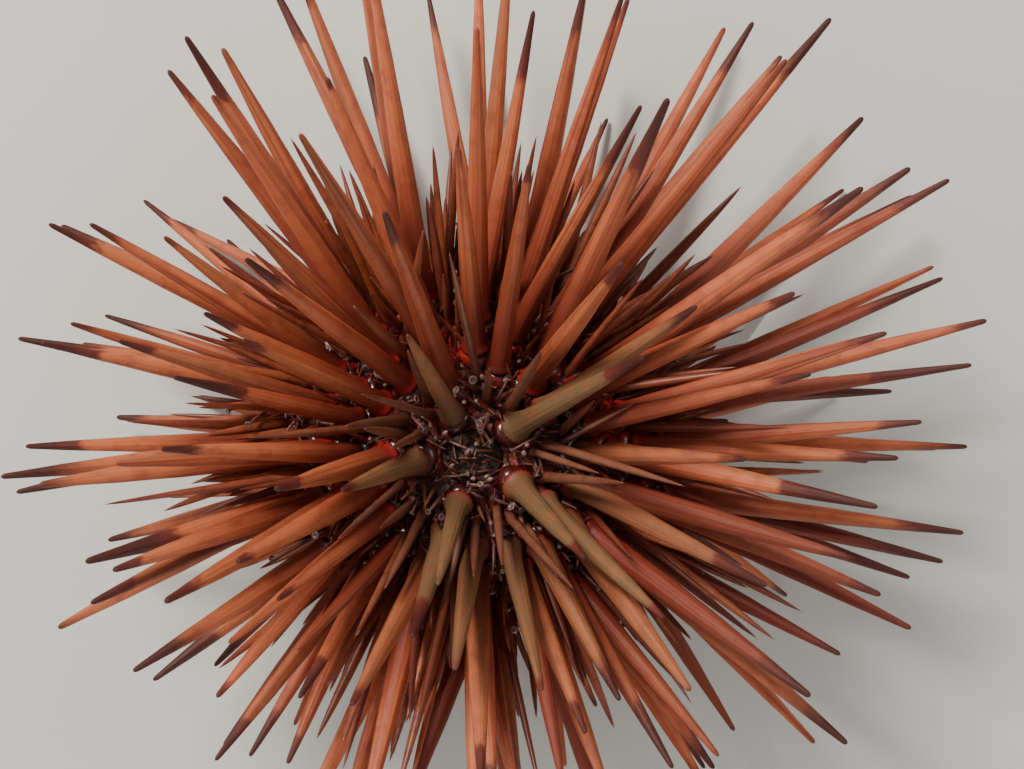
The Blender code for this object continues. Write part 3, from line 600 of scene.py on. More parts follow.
def spine_finish(name, foot_colour, shaft_colour, pale_and_highlight_colour, ochre_colour, olive_colour, tip_colour):
    """Satin terracotta over lime: paler bands along the flutes, in part a painted highlight along the
    ridges, a thin olive film in streaks and all over near the crown, some whole spines wine red and more of
    them towards one side as painted shade, darker red towards the foot with painted shade among the crowded
    spines, bright red round it, and a maroon tip that starts at each spine's own share of its length."""
    made, tree, shader = finish_of(
        name, Roughness=0.5, Specular_IOR_Level=0.3, Subsurface_Weight=0.06,
        Subsurface_Radius=(0.0012, 0.0005, 0.0003), Subsurface_Scale=1.0,
    )
    lie, along = value_at(tree, "lie", True), value_at(tree, "along")
    from_foot = value_at(tree, "from_foot")
    long = add(tree, "ShaderNodeMapping", {"Vector": lie, "Scale": (1.0, 1.0, 0.035)}).outputs["Vector"]
    band_and_highlight = between(tree, noise(tree, long, 1.1, 2.0), 0.36, 0.66)
    fine = noise(tree, long, 5.0, 3.0)
    mottle = noise(tree, lie, 0.5, 4.0)
    dull = between(tree, value_at(tree, "tone"), 0.3, 1.0)
    base = mixed(tree, dull, shaft_colour, darker(shaft_colour, 0.5))
    # Paler bands along the length: in part a painted highlight along the ridges
    base = mixed(tree, band_and_highlight, base, pale_and_highlight_colour)
    base = mixed(tree, times(tree, value_at(tree, "pale"), 0.85), base, darker(pale_and_highlight_colour, 1.3))
    base = mixed(tree, times(tree, value_at(tree, "ochre"), 0.35), base, ochre_colour)
    base = mixed(tree, between(tree, mottle, 0.45, 0.75, 0.0, 0.45), base, foot_colour)
    streak = between(tree, noise(tree, long, 0.45, 2.0), 0.52, 0.70, 0.0, 0.35)
    base = mixed(tree, streak, base, olive_colour)
    # Whole spines wine red: some at random, and more towards one side as painted shade
    base = mixed(tree, times(tree, value_at(tree, "wine"), 0.88), base, darker(foot_colour, 0.75))
    # Redder and darker towards the foot: the darkening is painted shade down among the crowded spines near
    # the skin
    base = mixed(tree, between(tree, along, 0.05, 0.62, 0.85, 0.0), base, foot_colour)
    base = mixed(tree, between(tree, from_foot, 1.1, 3.4, 1.0, 0.0), base, darker(foot_colour, 0.55))
    ragged = plus(tree, from_foot, between(tree, noise(tree, lie, 1.3, 3.0), 0.3, 0.7, -0.5, 0.5))
    flush = times(tree, value_at(tree, "flush"), between(tree, ragged, 1.7, 3.2, 0.8, 0.0))
    base = mixed(tree, flush, base, MUSCLE_RED)
    film = times(tree, value_at(tree, "olive"), between(tree, mottle, 0.3, 0.6, 0.66, 0.96))
    film = times(tree, film, between(tree, from_foot, 1.0, 2.2, 0.25, 1.0))
    base = mixed(tree, film, base, olive_colour)
    wander = plus(tree, along, between(tree, noise(tree, lie, 0.55, 2.0), 0.3, 0.7, -0.02, 0.02))
    start = value_at(tree, "dark_from")
    stop = plus(tree, start, between(tree, value_at(tree, "soft"), 0.0, 1.0, 0.055, 0.30))
    deepened = between(tree, wander, start, plus(tree, start, 0.2))
    tip = mixed(tree, deepened, tip_colour, darker(tip_colour, 0.45))
    base = mixed(tree, between(tree, wander, start, stop), base, tip)
    pores = grains(tree, lie, 4.0, 1.0, 0.5)
    dressed(tree, shader, base, (fine, 0.00012, 0.55), (pores["Height"], 0.00003, 0.35))
    return made


SPINE_FINISH = spine_finish(
    "terracotta_spine",
    # The foot colour serves the redder feet and the mottling, and darkened it is the painted shade near the
    # foot
    foot_colour=(0.170, 0.021, 0.014, 1),
    shaft_colour=(0.33, 0.056, 0.025, 1),
    # The pale colour: the paler spines' own tone, and a painted highlight in the bands
    pale_and_highlight_colour=(0.48, 0.122, 0.051, 1),
    ochre_colour=(0.33, 0.102, 0.032, 1),
    olive_colour=(0.135, 0.080, 0.037, 1),
    tip_colour=(0.125, 0.022, 0.015, 1),
)
for node in SHELL_NODES:
    picked = stout[spine_node[stout] == node]
    points, quads, caps, maps, values = stout_spines(picked)
    piece = surface("spines_of_" + node, points, quads, caps, maps, values, SPINE_FINISH)
    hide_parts(node)


# The cups of muscle
# A sleeve of red muscle runs from the shell to the ring of each stout spine and turns it on its boss. It is
# wet, finely fibrous and bright where it is drawn in, and dark under its skin elsewhere.
CUP_SIDES = 32
CUP_ROWS = 9
SLEEVE_TOP = 1.02 * MM
SLEEVE_FOOT = 1.62
SLEEVE_WAIST = 1.2
SLEEVE_FIBRES = 16


def unit(vectors):
    """Vectors made one long."""
    return vectors / np.linalg.norm(vectors, axis=-1, keepdims=True)


def muscle_cups(chosen):
    """Sleeves whose axis turns from the shell's normal to the spine's, from wide to narrow at the ring."""
    count = len(chosen)
    foot, aim, radius = spine_foot[chosen], spine_aim[chosen], spine_radius[chosen][:, None]
    share = np.linspace(0, 1, CUP_ROWS)[None]
    normal = outward(foot)
    axis = unit((1 - share)[..., None] * normal[:, None] + share[..., None] * aim[:, None])
    middles = foot[:, None] + (share * SLEEVE_TOP)[..., None] * axis - 0.25 * MM * normal[:, None]
    bulge = 0.12 * np.sin(math.pi * share)
    law = SLEEVE_FOOT * (1 - share) + SLEEVE_WAIST * share + bulge - 0.22 * smooth(share, 0.85, 1.0)
    turn = 2 * math.pi * np.arange(CUP_SIDES) / CUP_SIDES
    fibres = 1 + 0.035 * np.sin(SLEEVE_FIBRES * turn)[None, None] * np.sin(math.pi * share)[..., None]
    lumps = 1 + 0.06 * np.sin(3 * turn + spine_phase[chosen][:, None])[:, None]
    side = unit(np.cross(axis, frame_round(aim)[1][:, None]))
    points, quads, caps = tubes(
        middles, side, np.cross(axis, side), (radius * law)[..., None] * fibres * lumps,
        foot + 0.6 * MM * aim, foot - 0.4 * MM * normal, CUP_SIDES,
    )
    along = np.clip(0 * radius + share, 0.01, 0.99)
    maps = {"OFBake": tube_map(on_skin_map(foot), along, CUP_SIDES, TUFT_PATCH)}
    values = {
        "tone": each_point(spine_looks["tone"][chosen], count, CUP_ROWS, CUP_SIDES),
        "olive": each_point(olive_share(foot, aim), count, CUP_ROWS, CUP_SIDES),
    }
    return points, quads, caps, maps, values


def muscle_finish():
    """Wet red muscle, bright in places and maroon in others, with fine dark fibres."""
    made, tree, shader = finish_of(
        "red_muscle", Roughness=0.26, Specular_IOR_Level=0.6, Subsurface_Weight=0.2,
        Subsurface_Radius=(0.0014, 0.0003, 0.0002), Subsurface_Scale=1.0,
        Coat_Weight=0.35, Coat_Roughness=0.12,
    )
    place = add(tree, "ShaderNodeTexCoord").outputs["Object"]
    patch = between(tree, noise(tree, place, 170.0, 2.0), 0.42, 0.6)
    bright = times(tree, patch, between(tree, value_at(tree, "tone"), 0.15, 0.75))
    bright = times(tree, bright, between(tree, value_at(tree, "olive"), 0.0, 0.6, 1.0, 0.12))
    base = mixed(tree, bright, (0.055, 0.008, 0.007, 1), MUSCLE_RED)
    fine = noise(tree, place, 1500.0, 3.0)
    base = mixed(tree, between(tree, fine, 0.5, 0.75, 0.0, 0.5), base, (0.04, 0.005, 0.005, 1))
    dressed(tree, shader, base, (fine, 0.00015, 0.5))
    return made


cups = surface("muscle_cups", *muscle_cups(stout), muscle_finish())


# The needles
# Between the stout spines stand thin secondary spines, orange red and pointed, and over the whole skin
# a nap of short bristles. Each swells to a collar at its foot and keeps clear of those set before it.
NEEDLE_SIDES = 14
NEEDLE_STEPS = (0.0, 0.03, 0.06, 0.1, 0.16, 0.24, 0.34, 0.46, 0.58, 0.7, 0.81, 0.9, 0.96)
NEEDLE_GIRTH = (1.0, 1.35, 1.5, 1.2, 1.02, 1.0, 0.98, 0.94, 0.86, 0.74, 0.58, 0.4, 0.22)
FLOW_REACH = 5.0 * MM
MORE_NEEDLES = 150
NEEDLE_SPACE = 1.2 * MM
NEEDLE_SINK = 0.4 * MM
NEEDLE_LEAN = 0.32
NEEDLE_FLOW = 0.85
BRISTLES = 1500
BRISTLE_SIDES = 7
BRISTLE_STEPS = (0.0, 0.08, 0.2, 0.5, 0.8, 0.94)
BRISTLE_GIRTH = (1.2, 1.35, 1.0, 0.95, 0.7, 0.4)
BRISTLE_SPACE = 0.8 * MM
BRISTLE_SINK = 0.25 * MM
BRISTLE_LEAN = 0.6
BRISTLE_FLOW = 0.3
TRIES = 9
BATCHES = 2
BROWN_REACH = (6.5 * MM, 14.0 * MM)

bases = spine_foot[stout]


def scattered(wanted, spacing, keep_off, keep_radius, low, high):
    """Random places on the shell from low to high polar angle, at least the spacing apart and clear of
    others."""
    tries = 14 * wanted
    polar = np.arccos(draw.uniform(math.cos(high), math.cos(low), tries))
    places = on_test(polar, draw.uniform(0, 2 * math.pi, tries))
    away = np.linalg.norm(places[:, None] - keep_off[None], axis=2) - keep_radius[None]
    places = places[away.min(axis=1) > 0]
    kept = places[:1]
    for place in places[1:]:
        if len(kept) == wanted:
            break
        if np.linalg.norm(kept - place, axis=1).min() > spacing:
            kept = np.concatenate([kept, place[None]])
    return kept


def clearance(foot, aim, length, radius, others):
    """The least gap between each thin form and the others' axes, measured at stations along it."""
    other_foot, other_aim, other_length, other_radius = others
    least = np.full(len(foot), 1.0)
    for share in np.linspace(0.2, 1.0, 8):
        points = foot + (share * length)[:, None] * aim
        gap = points[:, None] - other_foot[None]
        along = np.clip((gap * other_aim[None]).sum(axis=2), 0, other_length[None])
        gap = np.linalg.norm(gap - along[..., None] * other_aim[None], axis=2)
        gap -= other_radius[None] * taper(along / other_length[None]) + (radius * (1.1 - share))[:, None]
        least = np.minimum(least, gap.min(axis=1))
    return least


def flow(foot, along):
    """Directions that run with the stout spines round each foot by the share, and along the normal by the
    rest. A stout spine counts by a bell over its distance."""
    away = np.linalg.norm(foot[:, None] - bases[None], axis=2)
    weight = np.exp(-((away / FLOW_REACH) ** 2))
    return unit(along * unit(weight @ spine_aim[stout]) + (1 - along) * outward(foot))


def leaning(middle, lean):
    """The directions, each tipped by up to the lean in radians to a random side."""
    side, other = frame_round(middle)
    turn = draw.uniform(0, 2 * math.pi, len(middle))[:, None]
    tip = np.tan(lean * np.sqrt(draw.uniform(0, 1, len(middle))))[:, None]
    return unit(middle + tip * (np.cos(turn) * side + np.sin(turn) * other))


def set_among(foot, length, radius, lean, others, along=0.0):
    """Directions for thin forms that leave the most room round them, and which of them stay clear."""
    middle = flow(foot, along)
    best, least = middle, np.full(len(foot), -1.0)
    for _ in range(TRIES):
        aim = leaning(middle, lean)
        gap = clearance(foot, aim, length, radius, others)
        above = (foot + length[:, None] * aim)[:, 2] > radius
        better = (gap > least) & above
        best[better], least[better] = aim[better], gap[better]
    return best, least > 0.05 * MM


def thin_tubes(foot, aim, length, radius, steps, girths, sides, sink):
    """Straight thin forms from a sunk root to a point: rings at shares of the length with the girth given
    there."""
    count, rows = len(foot), len(steps)
    levels = np.array(steps)[None] * (length + sink)[:, None] - sink
    side, other = frame_round(aim)
    points, quads, caps = tubes(
        foot[:, None] + levels[..., None] * aim[:, None],
        np.broadcast_to(side[:, None], (count, rows, 3)), np.broadcast_to(other[:, None], (count, rows, 3)),
        radius[:, None] * np.array(girths)[None], foot + length[:, None] * aim, foot - sink * aim, sides,
    )
    along = np.clip(levels / length[:, None], 0.01, 0.99)
    maps = {"OFBake": tube_map(on_skin_map(foot), along, sides, TUFT_PATCH)}
    away = np.linalg.norm(foot[:, :2] - CENTRE[:2], axis=1)
    crown = (1 - smooth(away, *BROWN_REACH)) * (foot[:, 2] > WIDEST_LEVEL)
    values = {
        "along": each_point(along, count, rows, sides),
        "tone": each_point(draw.uniform(0, 1, count), count, rows, sides),
        "crown": each_point(crown, count, rows, sides),
    }
    return points, quads, caps, maps, values


def needle_finish(name, low_colour, high_colour, tip_colour):
    """Thin spines: redder or more orange one by one, browner near the crown, dark at the foot as painted
    shade near the skin, with fine streaks and a darker tip."""
    made, tree, shader = finish_of(
        name, Roughness=0.4, Specular_IOR_Level=0.5, Subsurface_Weight=0.2,
        Subsurface_Radius=(0.0014, 0.0005, 0.0003), Subsurface_Scale=1.0,
    )
    place = add(tree, "ShaderNodeTexCoord").outputs["Object"]
    along = value_at(tree, "along")
    base = mixed(tree, value_at(tree, "tone"), low_colour, high_colour)
    base = mixed(tree, times(tree, value_at(tree, "crown"), 0.7), base, (0.105, 0.052, 0.032, 1))
    streak = noise(tree, place, 900.0, 3.0)
    base = mixed(tree, between(tree, streak, 0.45, 0.7, 0.0, 0.5), base, darker(low_colour, 0.6))
    # Dark at the foot: painted shade down among the spines near the skin
    base = mixed(tree, between(tree, along, 0.0, 0.25, 0.7, 0.0), base, (0.09, 0.016, 0.012, 1))
    base = mixed(tree, between(tree, along, 0.7, 1.0, 0.0, 0.8), base, tip_colour)
    dressed(tree, shader, base, (streak, 0.00008, 0.5))
    return made


def joined(forms, more):
    """Two groups of thin forms as one, each a tuple of feet, directions, lengths and radii."""
    return tuple(np.concatenate(pair) for pair in zip(forms, more))


needles = np.flatnonzero(spine_needle)
needle_radius = spine_radius[needles] * draw.uniform(0.85, 1.2, len(needles))
needle_forms = (spine_foot[needles], spine_aim[needles], spine_length[needles], needle_radius)
stout_forms = (bases, spine_aim[stout], spine_length[stout], spine_radius[stout])
cup_radius = 1.3 * spine_radius[stout]
for batch in range(BATCHES):
    others = joined(stout_forms, needle_forms)
    taken_radius = np.concatenate([cup_radius + 0.2 * MM, 0 * needle_forms[3] + NEEDLE_SPACE])
    foot = scattered(MORE_NEEDLES // BATCHES, NEEDLE_SPACE, others[0], taken_radius, 0.26, 2.55)
    length = draw.uniform(3.0, 6.0, len(foot)) * MM
    radius = draw.uniform(0.2, 0.3, len(foot)) * MM
    aim, clear = set_among(foot, length, radius, NEEDLE_LEAN, others, NEEDLE_FLOW)
    needle_forms = joined(needle_forms, (foot[clear], aim[clear], length[clear], radius[clear]))
made = thin_tubes(
    *needle_forms[:3], needle_forms[3] / 1.05, NEEDLE_STEPS, NEEDLE_GIRTH, NEEDLE_SIDES, NEEDLE_SINK,
)
NEEDLE_FINISH = needle_finish(
    "needle",
    low_colour=(0.15, 0.030, 0.017, 1),
    high_colour=(0.32, 0.082, 0.034, 1),
    tip_colour=(0.10, 0.022, 0.015, 1),
)
needle_piece = surface("needles", *made, NEEDLE_FINISH)

others = joined(stout_forms, needle_forms)
taken_radius = np.concatenate([cup_radius + 0.1 * MM, 1.5 * needle_forms[3] + 0.15 * MM])
foot = scattered(BRISTLES, BRISTLE_SPACE, others[0], taken_radius, 0.03, 2.6)
length = draw.uniform(1.3, 3.4, len(foot)) * MM
radius = draw.uniform(0.11, 0.19, len(foot)) * MM
aim, clear = set_among(foot, length, radius, BRISTLE_LEAN, others, BRISTLE_FLOW)
made = thin_tubes(
    foot[clear], aim[clear], length[clear], radius[clear],
    BRISTLE_STEPS, BRISTLE_GIRTH, BRISTLE_SIDES, BRISTLE_SINK,
)
BRISTLE_FINISH = needle_finish(
    "bristle",
    low_colour=(0.11, 0.016, 0.010, 1),
    high_colour=(0.26, 0.07, 0.036, 1),
    tip_colour=(0.19, 0.09, 0.055, 1),
)
bristles = surface("bristles", *made, BRISTLE_FINISH)


# The tube feet
# Thin soft feet come out in two rows along each narrow zone and end in a pale sucker with a hollow middle.
# Those above feel about between the spines, and those below hold on to the floor.
FOOT_SIDES = 12
FOOT_STEPS = 13
FOOT_EVERY = 1.15 * MM
FOOT_KEPT = 0.85
STALK_RADIUS = 0.15 * MM
DISC_RADIUS = 0.42 * MM
# The sucker's rings: how far along and how wide, in shares of its radius
DISC_SHAPE = ((-0.16, 0.42), (-0.05, 0.82), (0.06, 1.0), (0.15, 0.92), (0.14, 0.66), (0.03, 0.4))
HOLDS_BELOW = 12.0 * MM
FOOT_LEAN = 0.9
FOOT_SINK = 0.3 * MM


def foot_places():
    """Places in two rows along each narrow zone, each row's turn in shares of the zone's half width."""
    steps = int(0.5 * math.pi * 0.5 * TEST_LENGTH / FOOT_EVERY * 1.6)
    polar = np.linspace(0.2, 2.62, steps)
    rows = []
    for zone in range(ZONES):
        middle = FIRST_WIDE_ZONE + (zone + 0.5) * ZONE_TURN
        for sign in (-1, 1):
            turn = middle + sign * (ZONE_TURN / 2 - WIDE_HALF) * draw.uniform(0.62, 1.0, steps)
            rows.append(on_test(polar + draw.uniform(-0.02, 0.02, steps), turn))
    places = np.concatenate(rows)
    away = np.linalg.norm(places[:, None] - spine_foot[None], axis=2) - 1.25 * spine_radius[None]
    return places[(away.min(axis=1) > 0.1 * MM) & (draw.uniform(0, 1, len(places)) < FOOT_KEPT)]


def bent_path(start, bend, end, share):
    """A curve of three points and its directions: the start counts by the square of the share left, the
    bend by twice both shares and the end by the square of the share."""
    curve = (1 - share) ** 2 * start + 2 * share * (1 - share) * bend + share**2 * end
    return curve, unit(2 * (1 - share) * (bend - start) + 2 * share * (end - bend))


def bent_feet(start, bend, end, stalk, disc):
    """Feet along curves of three points: a wrinkled stalk that thins and a cupped sucker across its end."""
    count = len(start)
    share = np.linspace(0, 1, FOOT_STEPS)[None, :, None]
    curve, runs = bent_path(start[:, None], bend[:, None], end[:, None], share)
    across = unit(np.cross(unit(bend - start), unit(end - bend)) + 1e-9)
    last = runs[:, -1:]
    shape = np.array(DISC_SHAPE)
    cup = end[:, None] + (shape[:, 0] * DISC_RADIUS * 1.6)[None, :, None] * last
    middles = np.concatenate([curve[:, :-1], cup], 1)
    runs = np.concatenate([runs[:, :-1], np.broadcast_to(last, cup.shape)], 1)
    side = np.broadcast_to(across[:, None], middles.shape)
    wrinkle = 1 + 0.14 * np.sin(np.linspace(0, 30, FOOT_STEPS - 1))[None]
    girth = stalk[:, None] * (1.35 - 0.5 * share[:, :-1, 0]) * wrinkle
    girth = np.concatenate([girth, disc[:, None] * shape[None, :, 1]], 1)
    hollow = end - 0.03 * MM * last[:, 0]
    points, quads, caps = tubes(middles, side, np.cross(runs, side), girth, hollow, start, FOOT_SIDES)
    points[:, 2] = np.maximum(points[:, 2], 0.02 * MM)
    rows = middles.shape[1]
    level = np.concatenate([0.8 * share[0, :-1, 0], np.linspace(0.84, 1, len(shape))])
    along = np.clip(np.broadcast_to(level, (count, rows)), 0.01, 0.99)
    maps = {"OFBake": tube_map(on_skin_map(start), along, FOOT_SIDES, TUFT_PATCH)}
    values = {
        "along": each_point(along, count, rows, FOOT_SIDES),
        "tone": each_point(draw.uniform(0, 1, count), count, rows, FOOT_SIDES),
    }
    return points, quads, caps, maps, values


def foot_finish():
    """Soft wet stalks of dull maroon, paler up their length, with suckers from grey green to pale rose."""
    made, tree, shader = finish_of(
        "tube_foot", Roughness=0.4, Specular_IOR_Level=0.4, Subsurface_Weight=0.35,
        Subsurface_Radius=(0.0010, 0.0005, 0.0004), Subsurface_Scale=1.0,
        Coat_Weight=0.12, Coat_Roughness=0.2,
    )
    along = value_at(tree, "along")
    disc = mixed(tree, value_at(tree, "tone"), (0.085, 0.065, 0.056, 1), (0.155, 0.088, 0.088, 1))
    base = mixed(tree, between(tree, along, 0.1, 0.8), (0.070, 0.020, 0.021, 1), (0.150, 0.060, 0.054, 1))
    base = mixed(tree, between(tree, along, 0.80, 0.86), base, disc)
    base = mixed(tree, between(tree, along, 0.955, 0.99), base, (0.09, 0.035, 0.03, 1))
    place = add(tree, "ShaderNodeTexCoord").outputs["Object"]
    dressed(tree, shader, base, (noise(tree, place, 2500.0), 0.00005, 0.4))
    return made


start = foot_places()
normal = outward(start)
length = draw.uniform(2.6, 7.5, len(start)) * MM * (1 - 0.35 * smooth(normal[:, 2], 0.5, 0.9))
holds = start[:, 2] < HOLDS_BELOW
aim, clear = set_among(start, length, 0 * length + DISC_RADIUS, FOOT_LEAN, others)
clear |= holds
bend = start + 0.55 * length[:, None] * unit(0.65 * normal + 0.35 * aim)
end = start + length[:, None] * aim
level = unit(normal * [1, 1, 0])
reach = (start + level * draw.uniform(0.5, 4.0, (len(start), 1)) * MM) * [1, 1, 0] + [0, 0, 0.3 * MM]
bend[holds] = (0.5 * (start + reach) + 0.6 * length[:, None] * 0.5 * normal)[holds]
end[holds] = reach[holds]
stalk = STALK_RADIUS * draw.uniform(0.85, 1.25, len(start))
made = bent_feet(
    (start - FOOT_SINK * normal)[clear], bend[clear], end[clear], stalk[clear],
    (DISC_RADIUS * draw.uniform(0.8, 1.2, len(start)))[clear],
)
FOOT_FINISH = foot_finish()
feet = surface("tube_feet", *made, FOOT_FINISH)


# The pincers
# Tiny pincers on thin stalks keep the skin clean. Each ends in a small closed head, dull rose and pale.
PINCERS = 260
PINCER_SIDES = 9
PINCER_STEPS = (0.0, 0.1, 0.4, 0.66, 0.72, 0.78, 0.84, 0.9, 0.95, 0.99)
PINCER_GIRTH = (1.0, 0.8, 0.65, 0.7, 1.3, 2.6, 3.1, 2.7, 1.9, 0.9)
PINCER_SPACE = 1.2 * MM
PINCER_LEAN = 0.6
PINCER_SINK = 0.2 * MM

foot = scattered(PINCERS, PINCER_SPACE, others[0], taken_radius, 0.09, 2.5)
length = draw.uniform(1.6, 3.6, len(foot)) * MM
radius = draw.uniform(0.07, 0.10, len(foot)) * MM
aim, clear = set_among(foot, length, 3 * radius, PINCER_LEAN, others)
made = thin_tubes(
    foot[clear], aim[clear], length[clear], radius[clear],
    PINCER_STEPS, PINCER_GIRTH, PINCER_SIDES, PINCER_SINK,
)
PINCER_FINISH = needle_finish(
    "pincer",
    low_colour=(0.09, 0.025, 0.028, 1),
    high_colour=(0.22, 0.08, 0.07, 1),
    tip_colour=(0.28, 0.17, 0.14, 1),
)
pincers = surface("pincers", *made, PINCER_FINISH)


# The vent
# Ten plates ring the top of the shell: five large ones, each with a pore, and five small ones between.
# Inside them a soft disc of little plates closes round the vent, which lies a little off the middle.
VENT_ROWS = 70
VENT_COLUMNS = 200
VENT_RIM = 2.99 * MM
# The skirt's rings: how far out in shares of the disc, and how far below its rim in millimetres
VENT_SKIRT = ((1.0, -0.12), (0.995, -0.5), (0.98, -1.1))
VENT_DOME = 0.4 * MM
VENT_HOLE = (0.06, 0.04)
PORES_OUT = 0.79
SIEVE_OUT = 0.62
SIEVE_TURN = FIRST_WIDE_ZONE + ZONE_TURN
RIM_LEVEL = WIDEST_LEVEL + CROWN_HEIGHT * math.sqrt(1 - (VENT_RADIUS / MEAN_RADIUS) ** 2)
# Rings of plates: their number, distance from the middle, first turn in degrees, size and rise
PLATES = (
    (5, 0.66, 45.0, 1.0, 0.30),
    (5, 0.91, 81.0, 0.5, 0.16),
    (9, 0.33, 12.0, 0.46, 0.12),
    (4, 0.13, 30.0, 0.3, 0.1),
)


def plate_relief(across, upward):
    """How high the plates stand at places in shares of the disc's radius, and how near a seam each is.
    A place belongs to the plate whose distance over its size is least; the next least gives the seam."""
    reach, rises = [], []
    for count, out, first, size, rise in PLATES:
        turn = np.radians(first + 360 / count * np.arange(count))
        away = np.hypot(across[:, None] - out * np.cos(turn), upward[:, None] - out * np.sin(turn))
        reach.append(away / size)
        rises.append(np.full(count, rise))
    reach, rises = np.concatenate(reach, 1), np.concatenate(rises)
    order = np.argsort(reach, axis=1)
    first, second = (np.take_along_axis(reach, order[:, k : k + 1], 1)[:, 0] for k in (0, 1))
    edge = second - first
    return rises[order[:, 0]] * MM * smooth(edge, 0.0, 0.45), 1 - smooth(edge, 0.0, 0.1)


def vent_disc():
    """The disc on rings of turn: a low dome with the plates' relief, the pores and the vent sunk into it,
    and a skirt that goes down into its seat."""
    share = np.linspace(0, 1, VENT_ROWS + 1)[1:]
    turn = np.linspace(0, 2 * math.pi, VENT_COLUMNS, endpoint=False)
    share, turn = (values.ravel() for values in np.meshgrid(share, turn, indexing="ij"))
    across, upward = share * np.cos(turn), share * np.sin(turn)
    relief, seam = plate_relief(across, upward)
    level = RIM_LEVEL + VENT_DOME * (1 - share**2) + relief * (1 - smooth(share, 0.96, 1.0))
    pore_turn = FIRST_WIDE_ZONE + ZONE_TURN * np.arange(ZONES)
    from_x, from_y = PORES_OUT * np.cos(pore_turn), PORES_OUT * np.sin(pore_turn)
    pores = np.hypot(across[:, None] - from_x, upward[:, None] - from_y).min(axis=1)
    hole = np.hypot(across - VENT_HOLE[0], (upward - VENT_HOLE[1]) * 1.5)
    sunk = 1 - smooth(pores, 0.02, 0.055) + 1.6 * (1 - smooth(hole, 0.03, 0.1))
    level -= 0.22 * MM * sunk
    from_x, from_y = SIEVE_OUT * math.cos(SIEVE_TURN), SIEVE_OUT * math.sin(SIEVE_TURN)
    sieve = 1 - smooth(np.hypot(across - from_x, upward - from_y), 0.14, 0.24)
    points = np.stack([across, upward, level], -1)
    turn = turn[:VENT_COLUMNS]
    for out, drop in VENT_SKIRT:
        row = np.stack([out * np.cos(turn), out * np.sin(turn), 0 * turn + RIM_LEVEL + drop * MM], -1)
        points = np.concatenate([points, row])
    low = RIM_LEVEL + VENT_SKIRT[-1][1] * MM
    points = np.concatenate([points, [[0, 0, RIM_LEVEL + VENT_DOME], [0, 0, low]]])
    size = VENT_RIM / (2 * MEAN_RADIUS)
    points = points * [size * TEST_LENGTH, size * TEST_WIDTH, 1] + [CENTRE[0], CENTRE[1], 0]
    rows = VENT_ROWS + len(VENT_SKIRT)
    quads, caps = ring_faces(rows, VENT_COLUMNS)
    extra = len(points) - len(share)
    values = {
        # The seams between plates, and the pores and the vent's hole, which carry painted shade
        "seam": np.concatenate([np.maximum(seam, np.clip(sunk, 0, 1)), np.zeros(extra)]),
        "sieve": np.concatenate([sieve, np.zeros(extra)]),
    }
    reach = np.concatenate([np.repeat(np.linspace(0.02, 0.47, rows), VENT_COLUMNS), [0, 0.49]])
    around = np.concatenate([np.tile(turn, rows), [0, 0]])
    places = 0.5 + reach[:, None] * np.stack([np.cos(around), np.sin(around)], -1)
    corners = np.concatenate([quads.ravel(), caps.ravel()])
    return points, quads, caps, {"OFBake": places[corners]}, values


def vent_finish():
    """Dark limy plates under thin skin: brown maroon with pale grains, darker in the seams between plates,
    and near black in the pores and the vent's hole as painted shade.
    """
    made, tree, shader = finish_of(
        "vent_plates", Roughness=0.6, Specular_IOR_Level=0.25, Coat_Weight=0.04, Coat_Roughness=0.3,
    )
    place = add(tree, "ShaderNodeTexCoord").outputs["Object"]
    cloud = between(tree, noise(tree, place, 420.0, 4.0), 0.35, 0.65)
    base = mixed(tree, cloud, (0.014, 0.004, 0.004, 1), (0.040, 0.013, 0.010, 1))
    fine = grains(tree, place, 2100.0, 0.16, 0.38)
    base = mixed(tree, fine["Mask"], base, (0.14, 0.08, 0.055, 1))
    # Near black: dark seams between plates, and painted shade in the pores and the vent's hole
    base = mixed(tree, value_at(tree, "seam"), base, (0.010, 0.003, 0.003, 1))
    pitted = grains(tree, place, 5200.0, 1.0, 0.6)
    pits = times(tree, pitted["Height"], value_at(tree, "sieve"))
    dressed(
        tree, shader, base, (cloud, 0.00015, 0.4), (fine["Height"], 0.0001, 0.5), (pits, 0.0001, 0.9),
    )
    return made


vent = surface("vent", *vent_disc(), vent_finish())
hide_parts("vent_plates")


# The mouth
# Five white limy teeth meet in the middle of the lip. Ten short feeding feet stand round it in pairs,
# and at the membrane's edge ten small tufts of gills lie beside the narrow zones.
TOOTH_STEPS = 18
TOOTH_SIDES = 24
TOOTH_ROOT = (1.55 * MM, 8.0 * MM)
TOOTH_BEND = (1.5 * MM, 5.7 * MM)
TOOTH_TIP = (0.36 * MM, 4.2 * MM)
TOOTH_HALF_WIDTH = 0.62 * MM
TOOTH_HALF_THICK = 0.36 * MM
FEEDING_FEET_OUT = 4.5 * MM
FEEDING_PAIR = 0.16
GILL_PAIR = 0.2
GILL_FINGERS = 9
GILL_SINK = 0.4 * MM
GILL_STEPS = (0.0, 0.2, 0.5, 0.75, 0.9, 0.97)
GILL_GIRTH = (1.0, 0.9, 0.95, 1.1, 0.95, 0.6)


